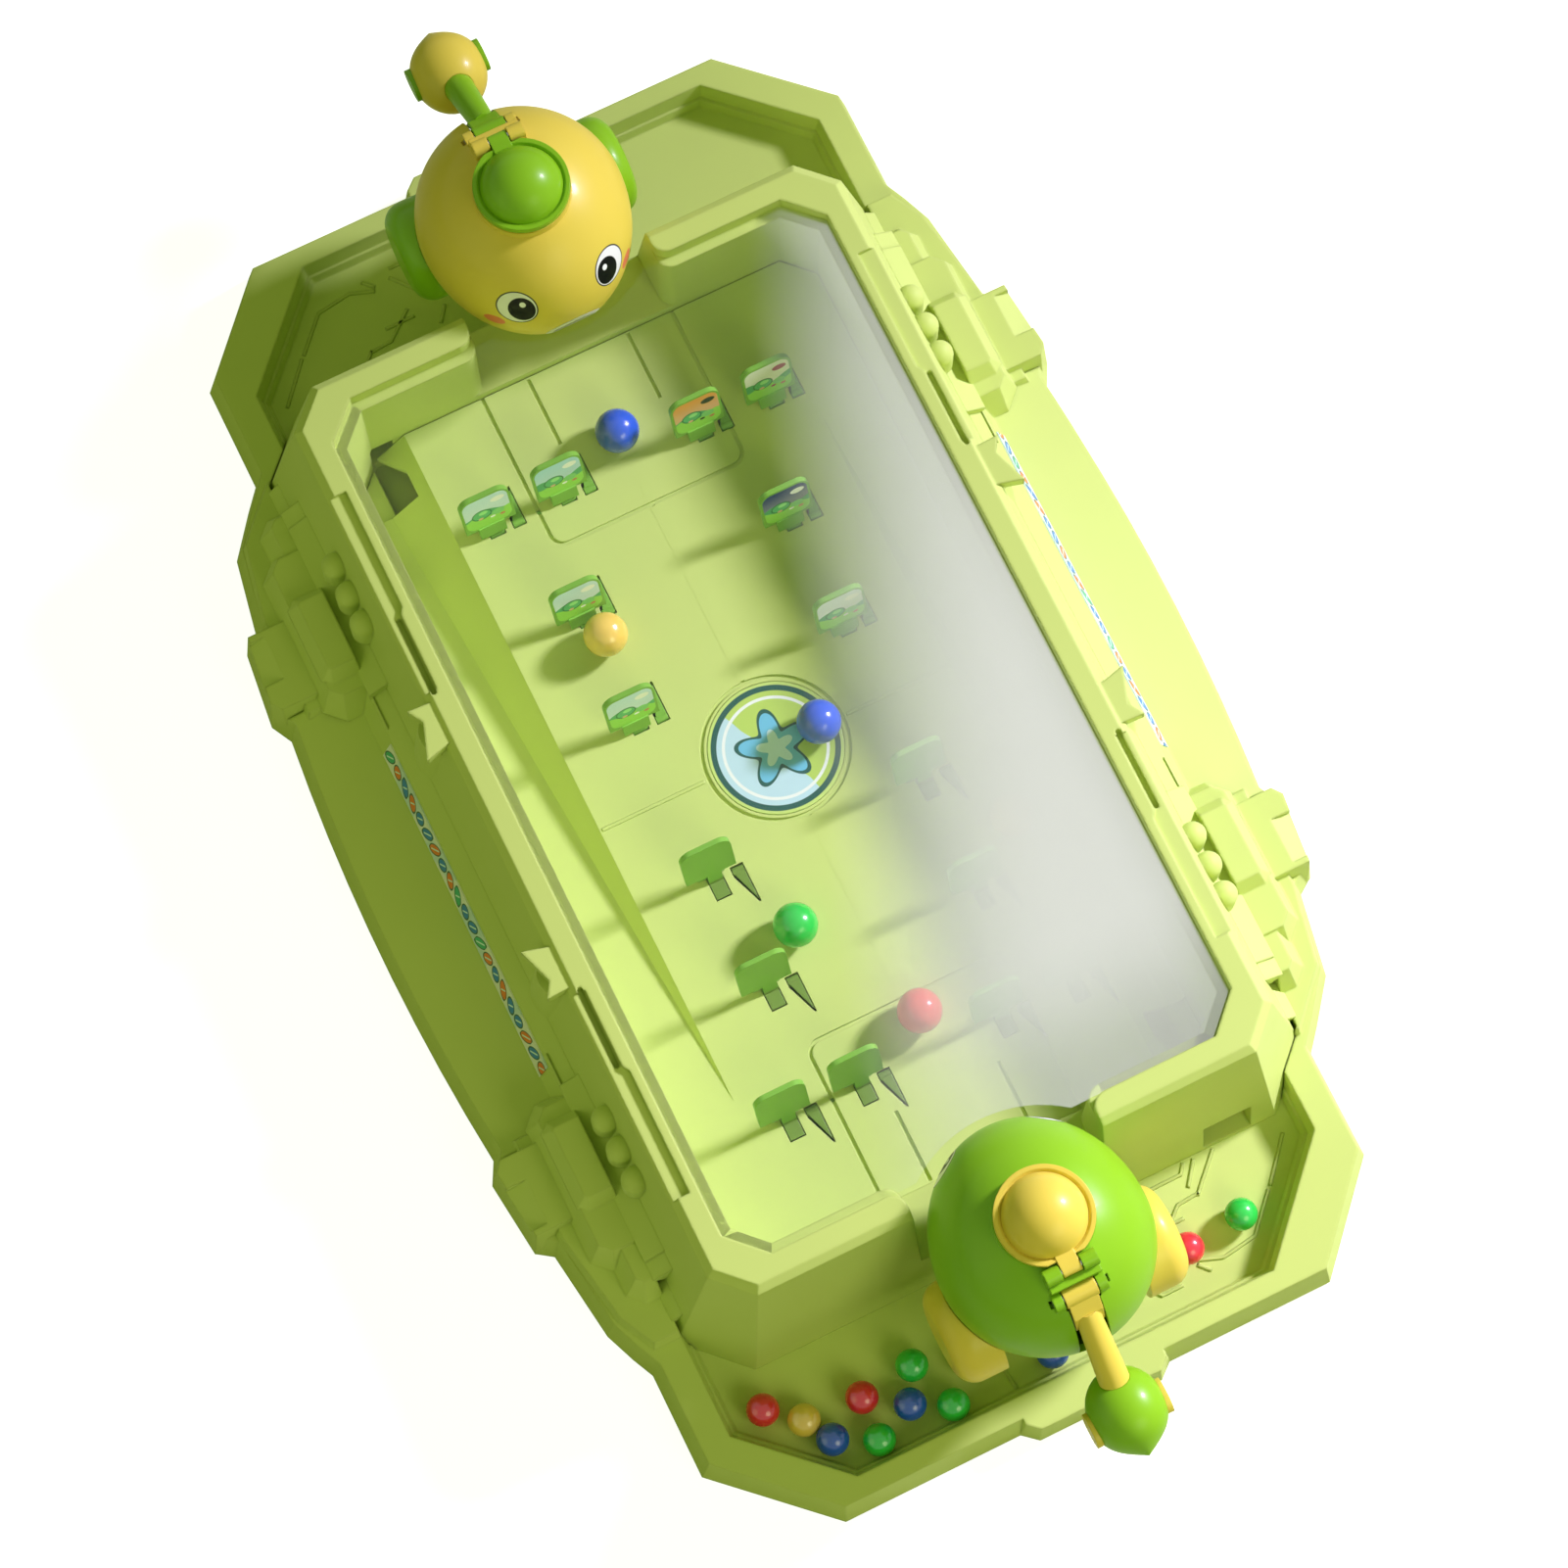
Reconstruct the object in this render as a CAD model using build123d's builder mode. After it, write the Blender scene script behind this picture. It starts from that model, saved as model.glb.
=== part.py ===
"""Tabletop pinball game for two players.

A moulded tray with a ball tray at each end carries a raised play housing with a clear cover.
Sixteen hinged targets stand on the playfield deck, and a round launcher swivels at each end.

Millimetres. X across the game, +Y to the far player, +Z up. The origin is on the table, under
the middle of the game. All but the targets looks the same after half a turn about Z.
"""
from build123d import *
from math import atan2, cos, radians, sin, sqrt, tan
import os

os.makedirs("parts", exist_ok=True)

# Driving dimensions
# Gaps and fits
clearance = 0.3             # between moulded pieces that seat in each other
running_gap = 0.06          # radial, axles and spigots
wall = 2.4                  # general moulding thickness

# Bottom, feet and tray
foot_height = 1.0
foot_radius = 7.0
edge_lift = 0.8             # lower edge of the tray above the table
cover_thickness = 1.6
tray_floor = 4.4
rim_top = 15.0
rim_half_length = 220.0
rim_narrow_half = 106.5     # far left and near right
rim_wide_half = 116.0       # far right and near left
rim_narrow_cut = (26.5, 29.0)
rim_wide_cut = (32.0, 30.0)
rim_flare = 3.2             # outward at the bottom
rim_side_width = 9.4
rim_end_width = 6.6
pocket_ledge = 8.0          # height of the ledge inside the ball tray
pocket_draft = 10.0         # degrees
pocket_ledge_width = 0.8

# Side skirts and armour decks
skirt_half = 138.6          # at the middle of the long side
skirt_end_half = 134.7      # where the arc meets the clamp block
skirt_end = 75.0
clamp_start = 78.0
clamp_end = 108.0
clamp_half = 138.4
clamp_top = 24.0
clamp_recess = (88.5, 103.5)    # along the side, of the sloped outer facet
deck_top = 20.5             # armour deck at the corners
panel_top = 34.0            # armour panel beside the housing
panel_crest = 39.5          # its raised middle
block_top = 33.0            # rounded block beyond the panel
pre_block_top = 33.5        # block between shelf and panel
knuckle_y = (86.5, 96.8, 107.1)     # row of knuckles at the foot of the wall
knuckle_radius = 4.3
knuckle_z = 49.0            # middle of their round heads

# Play housing
foot_half = (108.3, 169.6)
foot_cut = 18.2
label_foot = (foot_half[0] + 2.7, 20.0)     # x and z of the lower edge of the sloped label face
label_head = (foot_half[0] - 0.9, 30.0)
armour_root = foot_half[0] - 20.0           # the armour starts inside the housing's place
bevel_half = (94.2, 157.0)
bevel_cut = 11.2
bevel_z = 67.0
top_half = (91.7, 154.5)
top_cut = 10.0
housing_top = 69.5
opening_half = (84.9, 147.7)
opening_cut = 11.0
ledge_z = 63.5
well_half = (81.4, 144.4)
well_cut = 9.2
notch_half = 31.5
notch_sill = 28.6
notch_round = 5.0           # corners where the notches meet the well
cavity_half = 128.0         # the long walls are hollow up to here

# Playfield deck
playfield = 25.0
deck_thickness = 2.5
gutter_edge = 61.0
gutter_start = 95.0         # the gutter leaves deck level here
gutter_slope = 0.066
exit_inner = 65.0
groove_width = 1.2
groove_depth = 0.7
goal_half = 33.5
goal_front = 89.0
goal_round = 5.0
goal_mark_half = 17.6
goal_mark_end = 119.5
cover_sheet = 1.6
cover_notch_radius = 42.0

# Medallion
medallion_radius = 21.5
medallion_thickness = 1.0
medallion_recess = 0.8
ring_groove_radius = 23.2

# Targets
target_half_width = 8.5
target_foot_height = 6.6    # from the axle to the lower edge of the plate
target_top = 23.8
target_thickness = 1.8
target_round = 4.0
target_foot_half = 4.5      # lip in front of the plate's foot
target_neck = (-1.5, 3.3)   # across, from the middle of the target
target_lean = 16.0          # towards the far player
axle_radius = 0.7
axle_z = 23.8
axle_end = -10.2
hub_radius = 1.4
fin_span = (6.6, 10.5)      # across, at the root
fin_length = 11.1
lever_top = 0.1             # heel and fin lie this far under the deck's face
lever_thickness = 1.8
heel_length = 5.9
far_rows = ((24.6, (36.3,)), (63.2, (36.3,)), (102.2, (24.1, 49.1)))
near_rows = ((-29.9, (36.3,)), (-68.7, (36.3,)), (-107.8, (24.1, 49.1)))

# Launchers, given for the near one
launcher_y = -180.5
body_z = 65.0
body_radius = 33.5
snout_reach = 39.0
body_wall = 2.2
pedestal_radius = 9.5
pedestal_top = 29.7
spigot_radius = 5.0
turntable_radius = 20.0
turntable_z = 30.0
cradle_top = 38.0
barrel_z = 57.0
bore_radius = 7.6
barrel_wall = 1.6
barrel_front = -140.6
barrel_back = -191.0
hatch_y = -176.6
lid_radius = 15.0
lid_z = (97.7, 100.1)
dome_radius = 12.8
dome_height = 9.5
lid_pin_y = -193.4
lid_pin_z = 98.6
lid_pin_radius = 1.0
tab_half = 3.0
haunch_y = -190.5
haunch_z = 46.0
haunch_radius = 16.5
haunch_inner = 24.0
haunch_outer = 39.0
haunch_stub = 3.0
tail_pin_y = -199.5
tail_pin_z = 90.0
tail_pin_radius = 1.5
tail_arm_half = 3.5
tail_saddle_half = 4.7      # the wide part behind the hub
guard_radius = 3.6          # of the rings that hide the return springs
guard_bore = 2.75
guard_half = 5.2
tail_slot_half = 5.6
tail_slot_floor = 61.0      # the pressed tail leaves the shell above this
tube_radius = 4.8
bulb_y = -234.6
bulb_z = 61.6
bulb_radius = 12.0
striker_head_radius = 7.2
striker_rod_radius = 2.4
striker_front = -184.8
striker_head = 4.0
tail_swing = 14.0           # degrees, from rest to fully pressed
arm_tip_radius = 1.25
arm_half = 1.5
arm_neck_half = 0.8
yoke_radius = 5.0
yoke_half = 3.0
spring_radius = 2.0
spring_wire = 0.3
spring_turns = 2

# Balls
tray_ball_radius = 5.2
play_ball_radius = 7.1


def cut_corners(half, cut):
    """Corners of a rectangle whose corners are cut off at 45 degrees."""
    w, l = half
    return [(w, -l + cut), (w, l - cut), (w - cut, l), (-w + cut, l),
            (-w, l - cut), (-w, -l + cut), (-w + cut, -l), (w - cut, -l)]


def outline(*points):
    """Face of a closed outline, turned so that it looks along its plane's normal."""
    area = sum(a[0] * b[1] - a[1] * b[0] for a, b in zip(points, points[1:] + points[:1]))
    return Polygon(*(points if area > 0 else points[::-1]), align=None)


def half_turn(points):
    """The same points, half a turn about Z."""
    return [(-x, -y) for x, y in points]


def keep(builder, name):
    """Label a finished piece and write it."""
    builder.part.label = name
    export_step(builder.part, f"parts/{name}.step")


def keep_pair(builder, name):
    """Write a launcher piece for both ends, the far one half a turn about Z from the near one."""
    for end, angle in (("near", 0), ("far", 180)):
        piece = builder.part.rotate(Axis.Z, angle)
        piece.label = f"{end}_{name}"
        export_step(piece, f"parts/{end}_{name}.step")


# Base tray
# Left side of the lower outline, from the far end to the near end; the right side is its twin.
cut_x, cut_y = rim_narrow_cut
wide_x, wide_y = rim_wide_cut
far_left = [(-(rim_narrow_half - cut_x + rim_flare / 2), rim_half_length + rim_flare),
            (-(rim_narrow_half + rim_flare), rim_half_length - cut_y + rim_flare / 2),
            (-(rim_narrow_half + rim_flare), 157.0), (-115.5, 150.0), (-125.5, 137.0), (-130.5, 110.5),
            (-135.5, clamp_end - 1.0), (-clamp_half, clamp_start + 4.0), (-skirt_end_half, skirt_end)]
near_left = [(-skirt_end_half, -skirt_end), (-clamp_half, -clamp_start - 4.0), (-135.5, -clamp_end + 1.0),
             (-130.5, -110.5), (-126.5, -140.0), (-122.5, -150.0), (-(rim_wide_half + rim_flare), -157.0),
             (-(rim_wide_half + rim_flare), -(rim_half_length - wide_y + rim_flare / 2)),
             (-(rim_wide_half - wide_x + rim_flare / 2), -(rim_half_length + rim_flare))]


def base_outline(inset=0.0):
    """Lower outline of the tray, as lines with an arc along each skirt."""
    with BuildSketch() as lower:
        with BuildLine():
            for turn in (lambda p: p, half_turn):
                Polyline(*turn(far_left))
                ThreePointArc(*turn([(-skirt_end_half, skirt_end), (-skirt_half, 0), (-skirt_end_half, -skirt_end)]))
                Polyline(*turn(near_left))
                Line(*[turn([near_left[-1]])[0], half_turn(turn([far_left[0]]))[0]])
        make_face()
        if inset:
            offset(amount=-inset, kind=Kind.INTERSECTION)
    return lower.sketch


def pocket_points(inset=0.0):
    """Outline of the far ball tray at the rim, drawn in by inset."""
    left = rim_narrow_half - rim_side_width - inset
    right = rim_wide_half - rim_side_width - inset
    end = rim_half_length - rim_end_width - inset
    slant = 0.42 * inset
    return [(-left, 140.0), (right, 140.0), (right, end - 27.9 + slant), (right - 29.6 + slant, end),
            (-left + 31.7 - slant, end), (-left, end - 33.3 + slant)]


def housing_outer(grow=0.0):
    """Drafted outside of the play housing, grown by a clearance."""
    with BuildPart() as outer:
        with BuildSketch(Plane.XY.offset(tray_floor)):
            outline(*cut_corners((foot_half[0] + grow, foot_half[1] + grow), foot_cut))
        with BuildSketch(Plane.XY.offset(bevel_z)):
            outline(*cut_corners((bevel_half[0] + grow, bevel_half[1] + grow), bevel_cut))
        loft(ruled=True)
    return outer.part


post_spots = [(0, 62), (0, -62), (0, 128), (0, -128), (48, 2), (-48, -2), (46, 84), (-46, -84), (-46, 84), (46, -84)]
tail_block_half = 26.0

with BuildPart() as base_tray:
    with BuildSketch(Plane.XY.offset(edge_lift)):
        add(base_outline())
    with BuildSketch(Plane.XY.offset(rim_top)):
        add(base_outline(inset=rim_flare))
    loft(ruled=True)
    # Skirts, sloped label faces and shelves beside the housing
    with BuildPart(mode=Mode.PRIVATE) as skirts:
        for side in (-1, 1):
            with BuildSketch(Plane.XZ):
                outline((side * 136, rim_top - 1), (side * 136, rim_top), (side * label_foot[0], label_foot[1]),
                        (side * label_head[0], label_head[1]), (side * 98, label_head[1]), (side * 98, rim_top - 1))
            extrude(amount=clamp_start, both=True)
        with BuildSketch(Plane.XY.offset(rim_top - 2)):
            add(base_outline(inset=rim_flare))
        extrude(amount=30, mode=Mode.INTERSECT)
    add(skirts.part)
    # Armour decks at the four corners
    for turn in (lambda p: p, half_turn):
        with BuildSketch(Plane.XY.offset(rim_top - 1)):
            outline(*turn([(-98, 152), (-107, 152), (-122.5, 135.5), (-127.8, 109), (-127.8, 74), (-98, 74)]))
            outline(*turn([(-98, -152), (-116, -152), (-122.5, -139.5), (-127.8, -109), (-127.8, -74), (-98, -74)]))
        extrude(amount=deck_top - rim_top + 1, taper=14)
    for sx in (-1, 1):
        for sy in (-1, 1):
            # Bevelled armour beside the housing: a block on the shelf, a panel with a crest, and a block beyond it
            for outer, start, end, corner, foot, top, draft in (
                    (foot_half[0] - 0.6, 55.0, 77.0, 2.0, label_head[1] - 1, pre_block_top, 28),
                    (foot_half[0] + 14.0, 68.0, 126.0, 6.0, deck_top - 1, panel_top, 17),
                    (foot_half[0] + 10.7, 76.5, 108.0, 3.0, panel_top - 1, panel_crest, 30),
                    (foot_half[0] + 8.7, 112.0, 139.0, 5.0, deck_top - 1, block_top, 20)):
                with BuildSketch(Plane.XY.offset(foot)):
                    outline((sx * armour_root, sy * start), (sx * (outer - corner), sy * start),
                            (sx * outer, sy * (start + corner)), (sx * outer, sy * (end - corner)),
                            (sx * (outer - corner), sy * end), (sx * armour_root, sy * end))
                extrude(amount=top - foot, taper=draft)
            # Clamp block with a sloped outer facet
            with BuildSketch(Plane.XY.offset(edge_lift)):
                outline(*[(sx * (clamp_half - inset), sy * y) for inset, y in
                          ((21.4, clamp_start - 1), (3.9, clamp_start - 1), (0, clamp_start + 4), (2.8, clamp_end - 1),
                           (4.4, clamp_end), (21.4, clamp_end))])
            extrude(amount=clamp_top - edge_lift, taper=6)
            with BuildSketch(Plane.XZ.offset(-sy * sum(clamp_recess) / 2)):
                outline((sx * (clamp_half - 9.9), clamp_top), (sx * (clamp_half + 1.6), clamp_top - 7),
                        (sx * (clamp_half + 1.6), clamp_top + 1), (sx * (clamp_half - 9.9), clamp_top + 1))
            extrude(amount=(clamp_recess[1] - clamp_recess[0]) / 2, both=True, mode=Mode.SUBTRACT)
    # Stop block under each tail, on the end rim
    for turn in (1, -1):
        with BuildSketch(Plane.XY.offset(edge_lift)):
            outline(*[(turn * x, turn * y) for x, y in
                      [(-tail_block_half, -206), (-tail_block_half, -223), (-tail_block_half + 5, -227.3),
                       (tail_block_half - 5, -227.3), (tail_block_half, -223), (tail_block_half, -206)]])
        extrude(amount=rim_top - edge_lift, taper=7.5)
    # Ball trays, in two steps with a ledge between
    for turn in (lambda p: p, half_turn):
        with BuildSketch(Plane.XY.offset(rim_top + 20)):
            outline(*turn(pocket_points()))
        extrude(amount=-20, mode=Mode.SUBTRACT)
        with BuildSketch(Plane.XY.offset(rim_top)):
            outline(*turn(pocket_points()))
        extrude(amount=pocket_ledge - rim_top, taper=pocket_draft, mode=Mode.SUBTRACT)
        with BuildSketch(Plane.XY.offset(pocket_ledge)):
            outline(*turn(pocket_points((rim_top - pocket_ledge) * tan(radians(pocket_draft)) + pocket_ledge_width)))
        extrude(amount=tray_floor - pocket_ledge, taper=15, mode=Mode.SUBTRACT)
    # Well that takes the play housing
    add(housing_outer(clearance), mode=Mode.SUBTRACT)
    with BuildSketch(Plane.XY.offset(tray_floor)):
        outline(*cut_corners((foot_half[0] - 2, foot_half[1] - 2), foot_cut))
    extrude(amount=40, mode=Mode.SUBTRACT)
    # Posts under the playfield deck
    with BuildSketch(Plane.XY.offset(tray_floor - 1)):
        with Locations(*post_spots):
            Circle(4.0)
    extrude(amount=playfield - deck_thickness - tray_floor + 1)
    # Hollow underside
    with BuildSketch(Plane.XY):
        for side in (-1, 1):
            with Locations((side * 121, 0)):
                Rectangle(17, 2 * skirt_end - 6)
    extrude(amount=12.6, mode=Mode.SUBTRACT)
    with BuildSketch(Plane.XY):
        add(base_outline(inset=rim_flare + clearance))
    extrude(amount=foot_height + cover_thickness, mode=Mode.SUBTRACT)
    with BuildSketch(Plane.XY):
        with Locations(*post_spots):
            Circle(1.3)
    extrude(amount=14, mode=Mode.SUBTRACT)
keep(base_tray, "base_tray")

# Bottom cover, feet and screws
foot_spots = [(sx * 96, sy * 196) for sx in (-1, 1) for sy in (-1, 1)] + [(-118, 0), (118, 0)]
screw_head_radius = 2.8
screw_head = 1.0
with BuildPart() as bottom_cover:
    with BuildSketch(Plane.XY.offset(foot_height)):
        add(base_outline(inset=rim_flare + 2 * clearance))
    extrude(amount=cover_thickness)
    with BuildSketch(Plane.XY.offset(foot_height)):
        with Locations(*post_spots):
            Circle(screw_head_radius + 0.2)
    extrude(amount=screw_head, mode=Mode.SUBTRACT)
    with BuildSketch(Plane.XY.offset(foot_height)):
        with Locations(*post_spots):
            Circle(1.4)
    extrude(amount=cover_thickness, mode=Mode.SUBTRACT)
keep(bottom_cover, "bottom_cover")

with BuildPart() as rubber_feet:
    with BuildSketch():
        with Locations(*[(0.93 * x, 0.98 * y) for x, y in foot_spots]):
            Circle(foot_radius)
    extrude(amount=foot_height)
keep(rubber_feet, "rubber_feet")

with BuildPart() as cover_screws:
    with BuildSketch(Plane.XY.offset(foot_height)):
        with Locations(*post_spots):
            Circle(screw_head_radius)
    extrude(amount=screw_head)
    with BuildSketch(Plane.XY.offset(foot_height)):
        with Locations(*post_spots):
            Circle(1.2)
    extrude(amount=11)
keep(cover_screws, "cover_screws")

# Play housing
with BuildPart() as play_housing:
    add(housing_outer())
    with BuildSketch(Plane.XY.offset(bevel_z)):
        outline(*cut_corners(bevel_half, bevel_cut))
    with BuildSketch(Plane.XY.offset(housing_top)):
        outline(*cut_corners(top_half, top_cut))
    loft(ruled=True)
    # Half-round bosses and fishtail tabs on the long walls
    for sx in (-1, 1):
        for sy in (-1, 1):
            with BuildSketch(Plane.XY.offset(label_head[1])):
                with Locations((sx * (bevel_half[0] - 1.7), sy * 42)):
                    Circle(11.3)
            extrude(amount=29, taper=7)
            with BuildSketch(Plane.XY.offset(bevel_z - 3.5)):
                outline((sx * 90, sy * 49), (sx * 100.5, sy * 49.5), (sx * 97.5, sy * 44.5), (sx * 101.5, sy * 33),
                        (sx * 90, sy * 36))
            extrude(amount=5)
            # Row of three knuckles standing on the armour panel
            for y in knuckle_y:
                with BuildSketch(Plane.XY.offset(panel_crest + clearance)):
                    with Locations((sx * (foot_half[0] - 8.5), sy * y)):
                        Circle(knuckle_radius)
                extrude(amount=knuckle_z - panel_crest - clearance)
                with Locations((sx * (foot_half[0] - 8.5), sy * y, knuckle_z)):
                    Sphere(knuckle_radius)
    # Opening for the cover, and the well of the play area
    with BuildSketch(Plane.XY.offset(housing_top)):
        outline(*cut_corners(opening_half, opening_cut))
    extrude(amount=ledge_z - housing_top, mode=Mode.SUBTRACT)
    with BuildSketch(Plane.XY.offset(tray_floor)):
        outline(*cut_corners(well_half, well_cut))
    extrude(amount=housing_top - tray_floor, mode=Mode.SUBTRACT)
    # Hollow inside the long walls, open downwards
    for sx in (-1, 1):
        with BuildSketch(Plane.XZ):
            outline((sx * (well_half[0] + wall), tray_floor), (sx * (foot_half[0] - wall), tray_floor),
                    (sx * (bevel_half[0] - wall + 0.6), ledge_z - wall), (sx * (well_half[0] + wall), ledge_z - wall))
        extrude(amount=cavity_half, both=True, mode=Mode.SUBTRACT)
    # Rim: sunk outer bands and narrow slots
    for sx in (-1, 1):
        for sy in (-1, 1):
            with BuildSketch(Plane.XY.offset(housing_top)):
                outline((sx * 89.2, sy * 52), (sx * 96, sy * 52), (sx * 96, sy * 121), (sx * 87.8, sy * 121),
                        (sx * 87.8, sy * 80), (sx * 89.2, sy * 78))
            extrude(amount=-1.6, mode=Mode.SUBTRACT)
            with BuildSketch(Plane.XY.offset(housing_top)):
                with Locations((sx * 90.6, sy * 64)):
                    SlotOverall(27, 1.8, rotation=90)
            extrude(amount=-4, mode=Mode.SUBTRACT)
    # Launcher notches and ball exits at both ends
    for turn in (1, -1):
        with BuildSketch(Plane.XZ):
            outline((-notch_half, housing_top + 1), (-notch_half, notch_sill), (notch_half, notch_sill),
                    (notch_half, housing_top + 1))
        extrude(amount=-turn * 180, mode=Mode.SUBTRACT)
        for start, foot in ((well_half[1], notch_sill), (opening_half[1], ledge_z)):
            for side in (-1, 1):
                with BuildSketch(Plane.XY.offset(foot)):
                    middle = notch_round / 2 - 0.5
                    with Locations((side * (notch_half + middle), turn * (start + middle))):
                        Rectangle(notch_round + 1, notch_round + 1)
                    with Locations((side * (notch_half + notch_round), turn * (start + notch_round))):
                        Circle(notch_round, mode=Mode.SUBTRACT)
                extrude(amount=housing_top + 1 - foot, mode=Mode.SUBTRACT)
        with BuildSketch(Plane.XY.offset(tray_floor)):
            with Locations((0, turn * -launcher_y)):
                Circle(pedestal_radius + 5)
        extrude(amount=notch_sill, mode=Mode.SUBTRACT)
        gutter_end = playfield - gutter_slope * (well_half[1] + gutter_start)
        with BuildSketch(Plane.YZ.offset(-turn * well_half[0])):
            outline((turn * (well_half[1] - 1), gutter_end), (turn * 175, tray_floor + 1.0),
                    (turn * 175, tray_floor + 17), (turn * (well_half[1] - 1), gutter_end + 15.4))
        extrude(amount=turn * (well_half[0] - exit_inner), mode=Mode.SUBTRACT)
keep(play_housing, "play_housing")


# Playfield deck
def trough(grow=0.0):
    """Space of the far left gutter below deck level, grown for its outside."""
    near = -gutter_start + 2 * grow
    far = well_half[1] - clearance
    run = far + gutter_start
    with BuildPart() as space:
        with BuildSketch(Plane.YZ.offset(-well_half[0] + clearance - (0 if grow else 5))):
            outline((near, playfield + 1 - grow), (far + (0 if grow else 5), playfield + 1 - grow),
                    (far + (0 if grow else 5), playfield - gutter_slope * run - grow), (near, playfield - grow))
        extrude(amount=60)
        with BuildSketch(Plane.XZ):
            outline((-gutter_edge + 0.5 + 1.5 * grow, playfield + 1), (-gutter_edge + 1.5 * grow, playfield),
                    (-gutter_edge - 21 + 1.5 * grow, playfield - 21), (-100, playfield - 21), (-100, playfield + 1))
        extrude(amount=200, both=True, mode=Mode.INTERSECT)
    return space.part


target_places = {}
for end, rows in (("far", far_rows), ("near", near_rows)):
    spots = sorted([(side * x, y) for y, columns in rows for x in columns for side in (-1, 1)], key=lambda p: (p[1], p[0]))
    for number, spot in enumerate(spots, 1):
        target_places[f"target_{end}_{number}"] = (spot, end)

slot_front = hub_radius + clearance
slot_back = heel_length + 0.4
slot_span = (target_neck[0] - clearance, target_neck[1] + clearance)
fin_slot = (fin_span[0] - clearance, fin_span[1] + clearance)

with BuildPart() as playfield_deck:
    with BuildSketch(Plane.XY.offset(playfield - deck_thickness)):
        outline(*cut_corners((well_half[0] - clearance, well_half[1] - clearance), well_cut))
    extrude(amount=deck_thickness)
    for angle in (0, 180):
        add(trough(2.2).rotate(Axis.Z, angle))
    with BuildSketch(Plane.XY.offset(tray_floor)):
        outline(*cut_corners((well_half[0] - clearance, well_half[1] - clearance), well_cut))
    extrude(amount=playfield - tray_floor, mode=Mode.INTERSECT)
    for angle in (0, 180):
        add(trough().rotate(Axis.Z, angle), mode=Mode.SUBTRACT)
    # Level exit pocket at the end of each gutter
    for turn in (1, -1):
        with BuildSketch(Plane.XY.offset(playfield - gutter_slope * (well_half[1] + gutter_start))):
            outline((-turn * (well_half[0] + 1), turn * 125), (-turn * exit_inner, turn * 125),
                    (-turn * exit_inner, turn * (well_half[1] - well_cut - 1)),
                    (-turn * (well_half[0] - well_cut), turn * (well_half[1] + 1)),
                    (-turn * (well_half[0] + 1), turn * (well_half[1] + 1)))
        extrude(amount=20, mode=Mode.SUBTRACT)
    # Ring groove and recess of the medallion
    with BuildSketch(Plane.XY.offset(playfield)):
        Circle(medallion_radius + clearance / 2)
    extrude(amount=-medallion_recess, mode=Mode.SUBTRACT)
    with BuildSketch(Plane.XY.offset(playfield)):
        Circle(ring_groove_radius + groove_width / 2)
        Circle(ring_groove_radius - groove_width / 2, mode=Mode.SUBTRACT)
    extrude(amount=-groove_depth, mode=Mode.SUBTRACT)
    # Goal outlines, their marks and the centre line
    with BuildSketch(Plane.XY.offset(playfield)):
        with Locations((0, 0)):
            Rectangle(groove_width, 2 * (goal_front + 8))
            Circle(ring_groove_radius, mode=Mode.SUBTRACT)
        for turn in (1, -1):
            with Locations((0, turn * (goal_front + 50))):
                RectangleRounded(2 * goal_half + groove_width, 100 + groove_width, goal_round)
                RectangleRounded(2 * goal_half - groove_width, 100 - groove_width, goal_round - 1, mode=Mode.SUBTRACT)
            for x in (-goal_mark_half, goal_mark_half):
                with Locations((x, turn * (goal_mark_end + 12))):
                    Rectangle(groove_width, 24)
    extrude(amount=-groove_depth, mode=Mode.SUBTRACT)
    # Slots and bearings of the targets
    for (x, y), end in target_places.values():
        back = -1 if end == "near" else 1
        with BuildSketch(Plane.XY.offset(playfield - deck_thickness - 1)):
            outline((x + slot_span[0], y - back * slot_front), (x + slot_span[1], y - back * slot_front),
                    (x + slot_span[1], y + back * slot_back), (x + slot_span[0], y + back * slot_back))
            outline((x + fin_slot[0], y - back * slot_front), (x + fin_slot[1], y - back * slot_front),
                    (x + fin_slot[1], y + back * (fin_length + 3 * clearance)),
                    (x + fin_slot[1] - 2 * clearance, y + back * (fin_length + 3 * clearance)),
                    (x + fin_slot[0], y + back * slot_front))
        extrude(amount=deck_thickness + 2, mode=Mode.SUBTRACT)
        # Bearing of the axle, open downwards
        with BuildSketch(Plane.YZ.offset(x + axle_end - clearance)):
            with Locations((y, axle_z)):
                Circle(axle_radius + running_gap)
            with Locations((y, axle_z - 2)):
                Rectangle(2 * (axle_radius + running_gap), 4)
        extrude(amount=fin_span[0] - axle_end, mode=Mode.SUBTRACT)
keep(playfield_deck, "playfield_deck")

# Medallion and clear cover
with BuildPart() as medallion:
    with BuildSketch(Plane.XY.offset(playfield - medallion_recess)):
        Circle(medallion_radius)
    extrude(amount=medallion_thickness)
    fillet(medallion.edges().group_by(Axis.Z)[-1], 0.3)
keep(medallion, "medallion")

with BuildPart() as clear_cover:
    with BuildSketch(Plane.XY.offset(ledge_z)):
        outline(*cut_corners((opening_half[0] - clearance, opening_half[1] - clearance), opening_cut))
        for y in (launcher_y, -launcher_y):
            with Locations((0, y)):
                Circle(cover_notch_radius, mode=Mode.SUBTRACT)
    extrude(amount=cover_sheet)
keep(clear_cover, "clear_cover")

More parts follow.
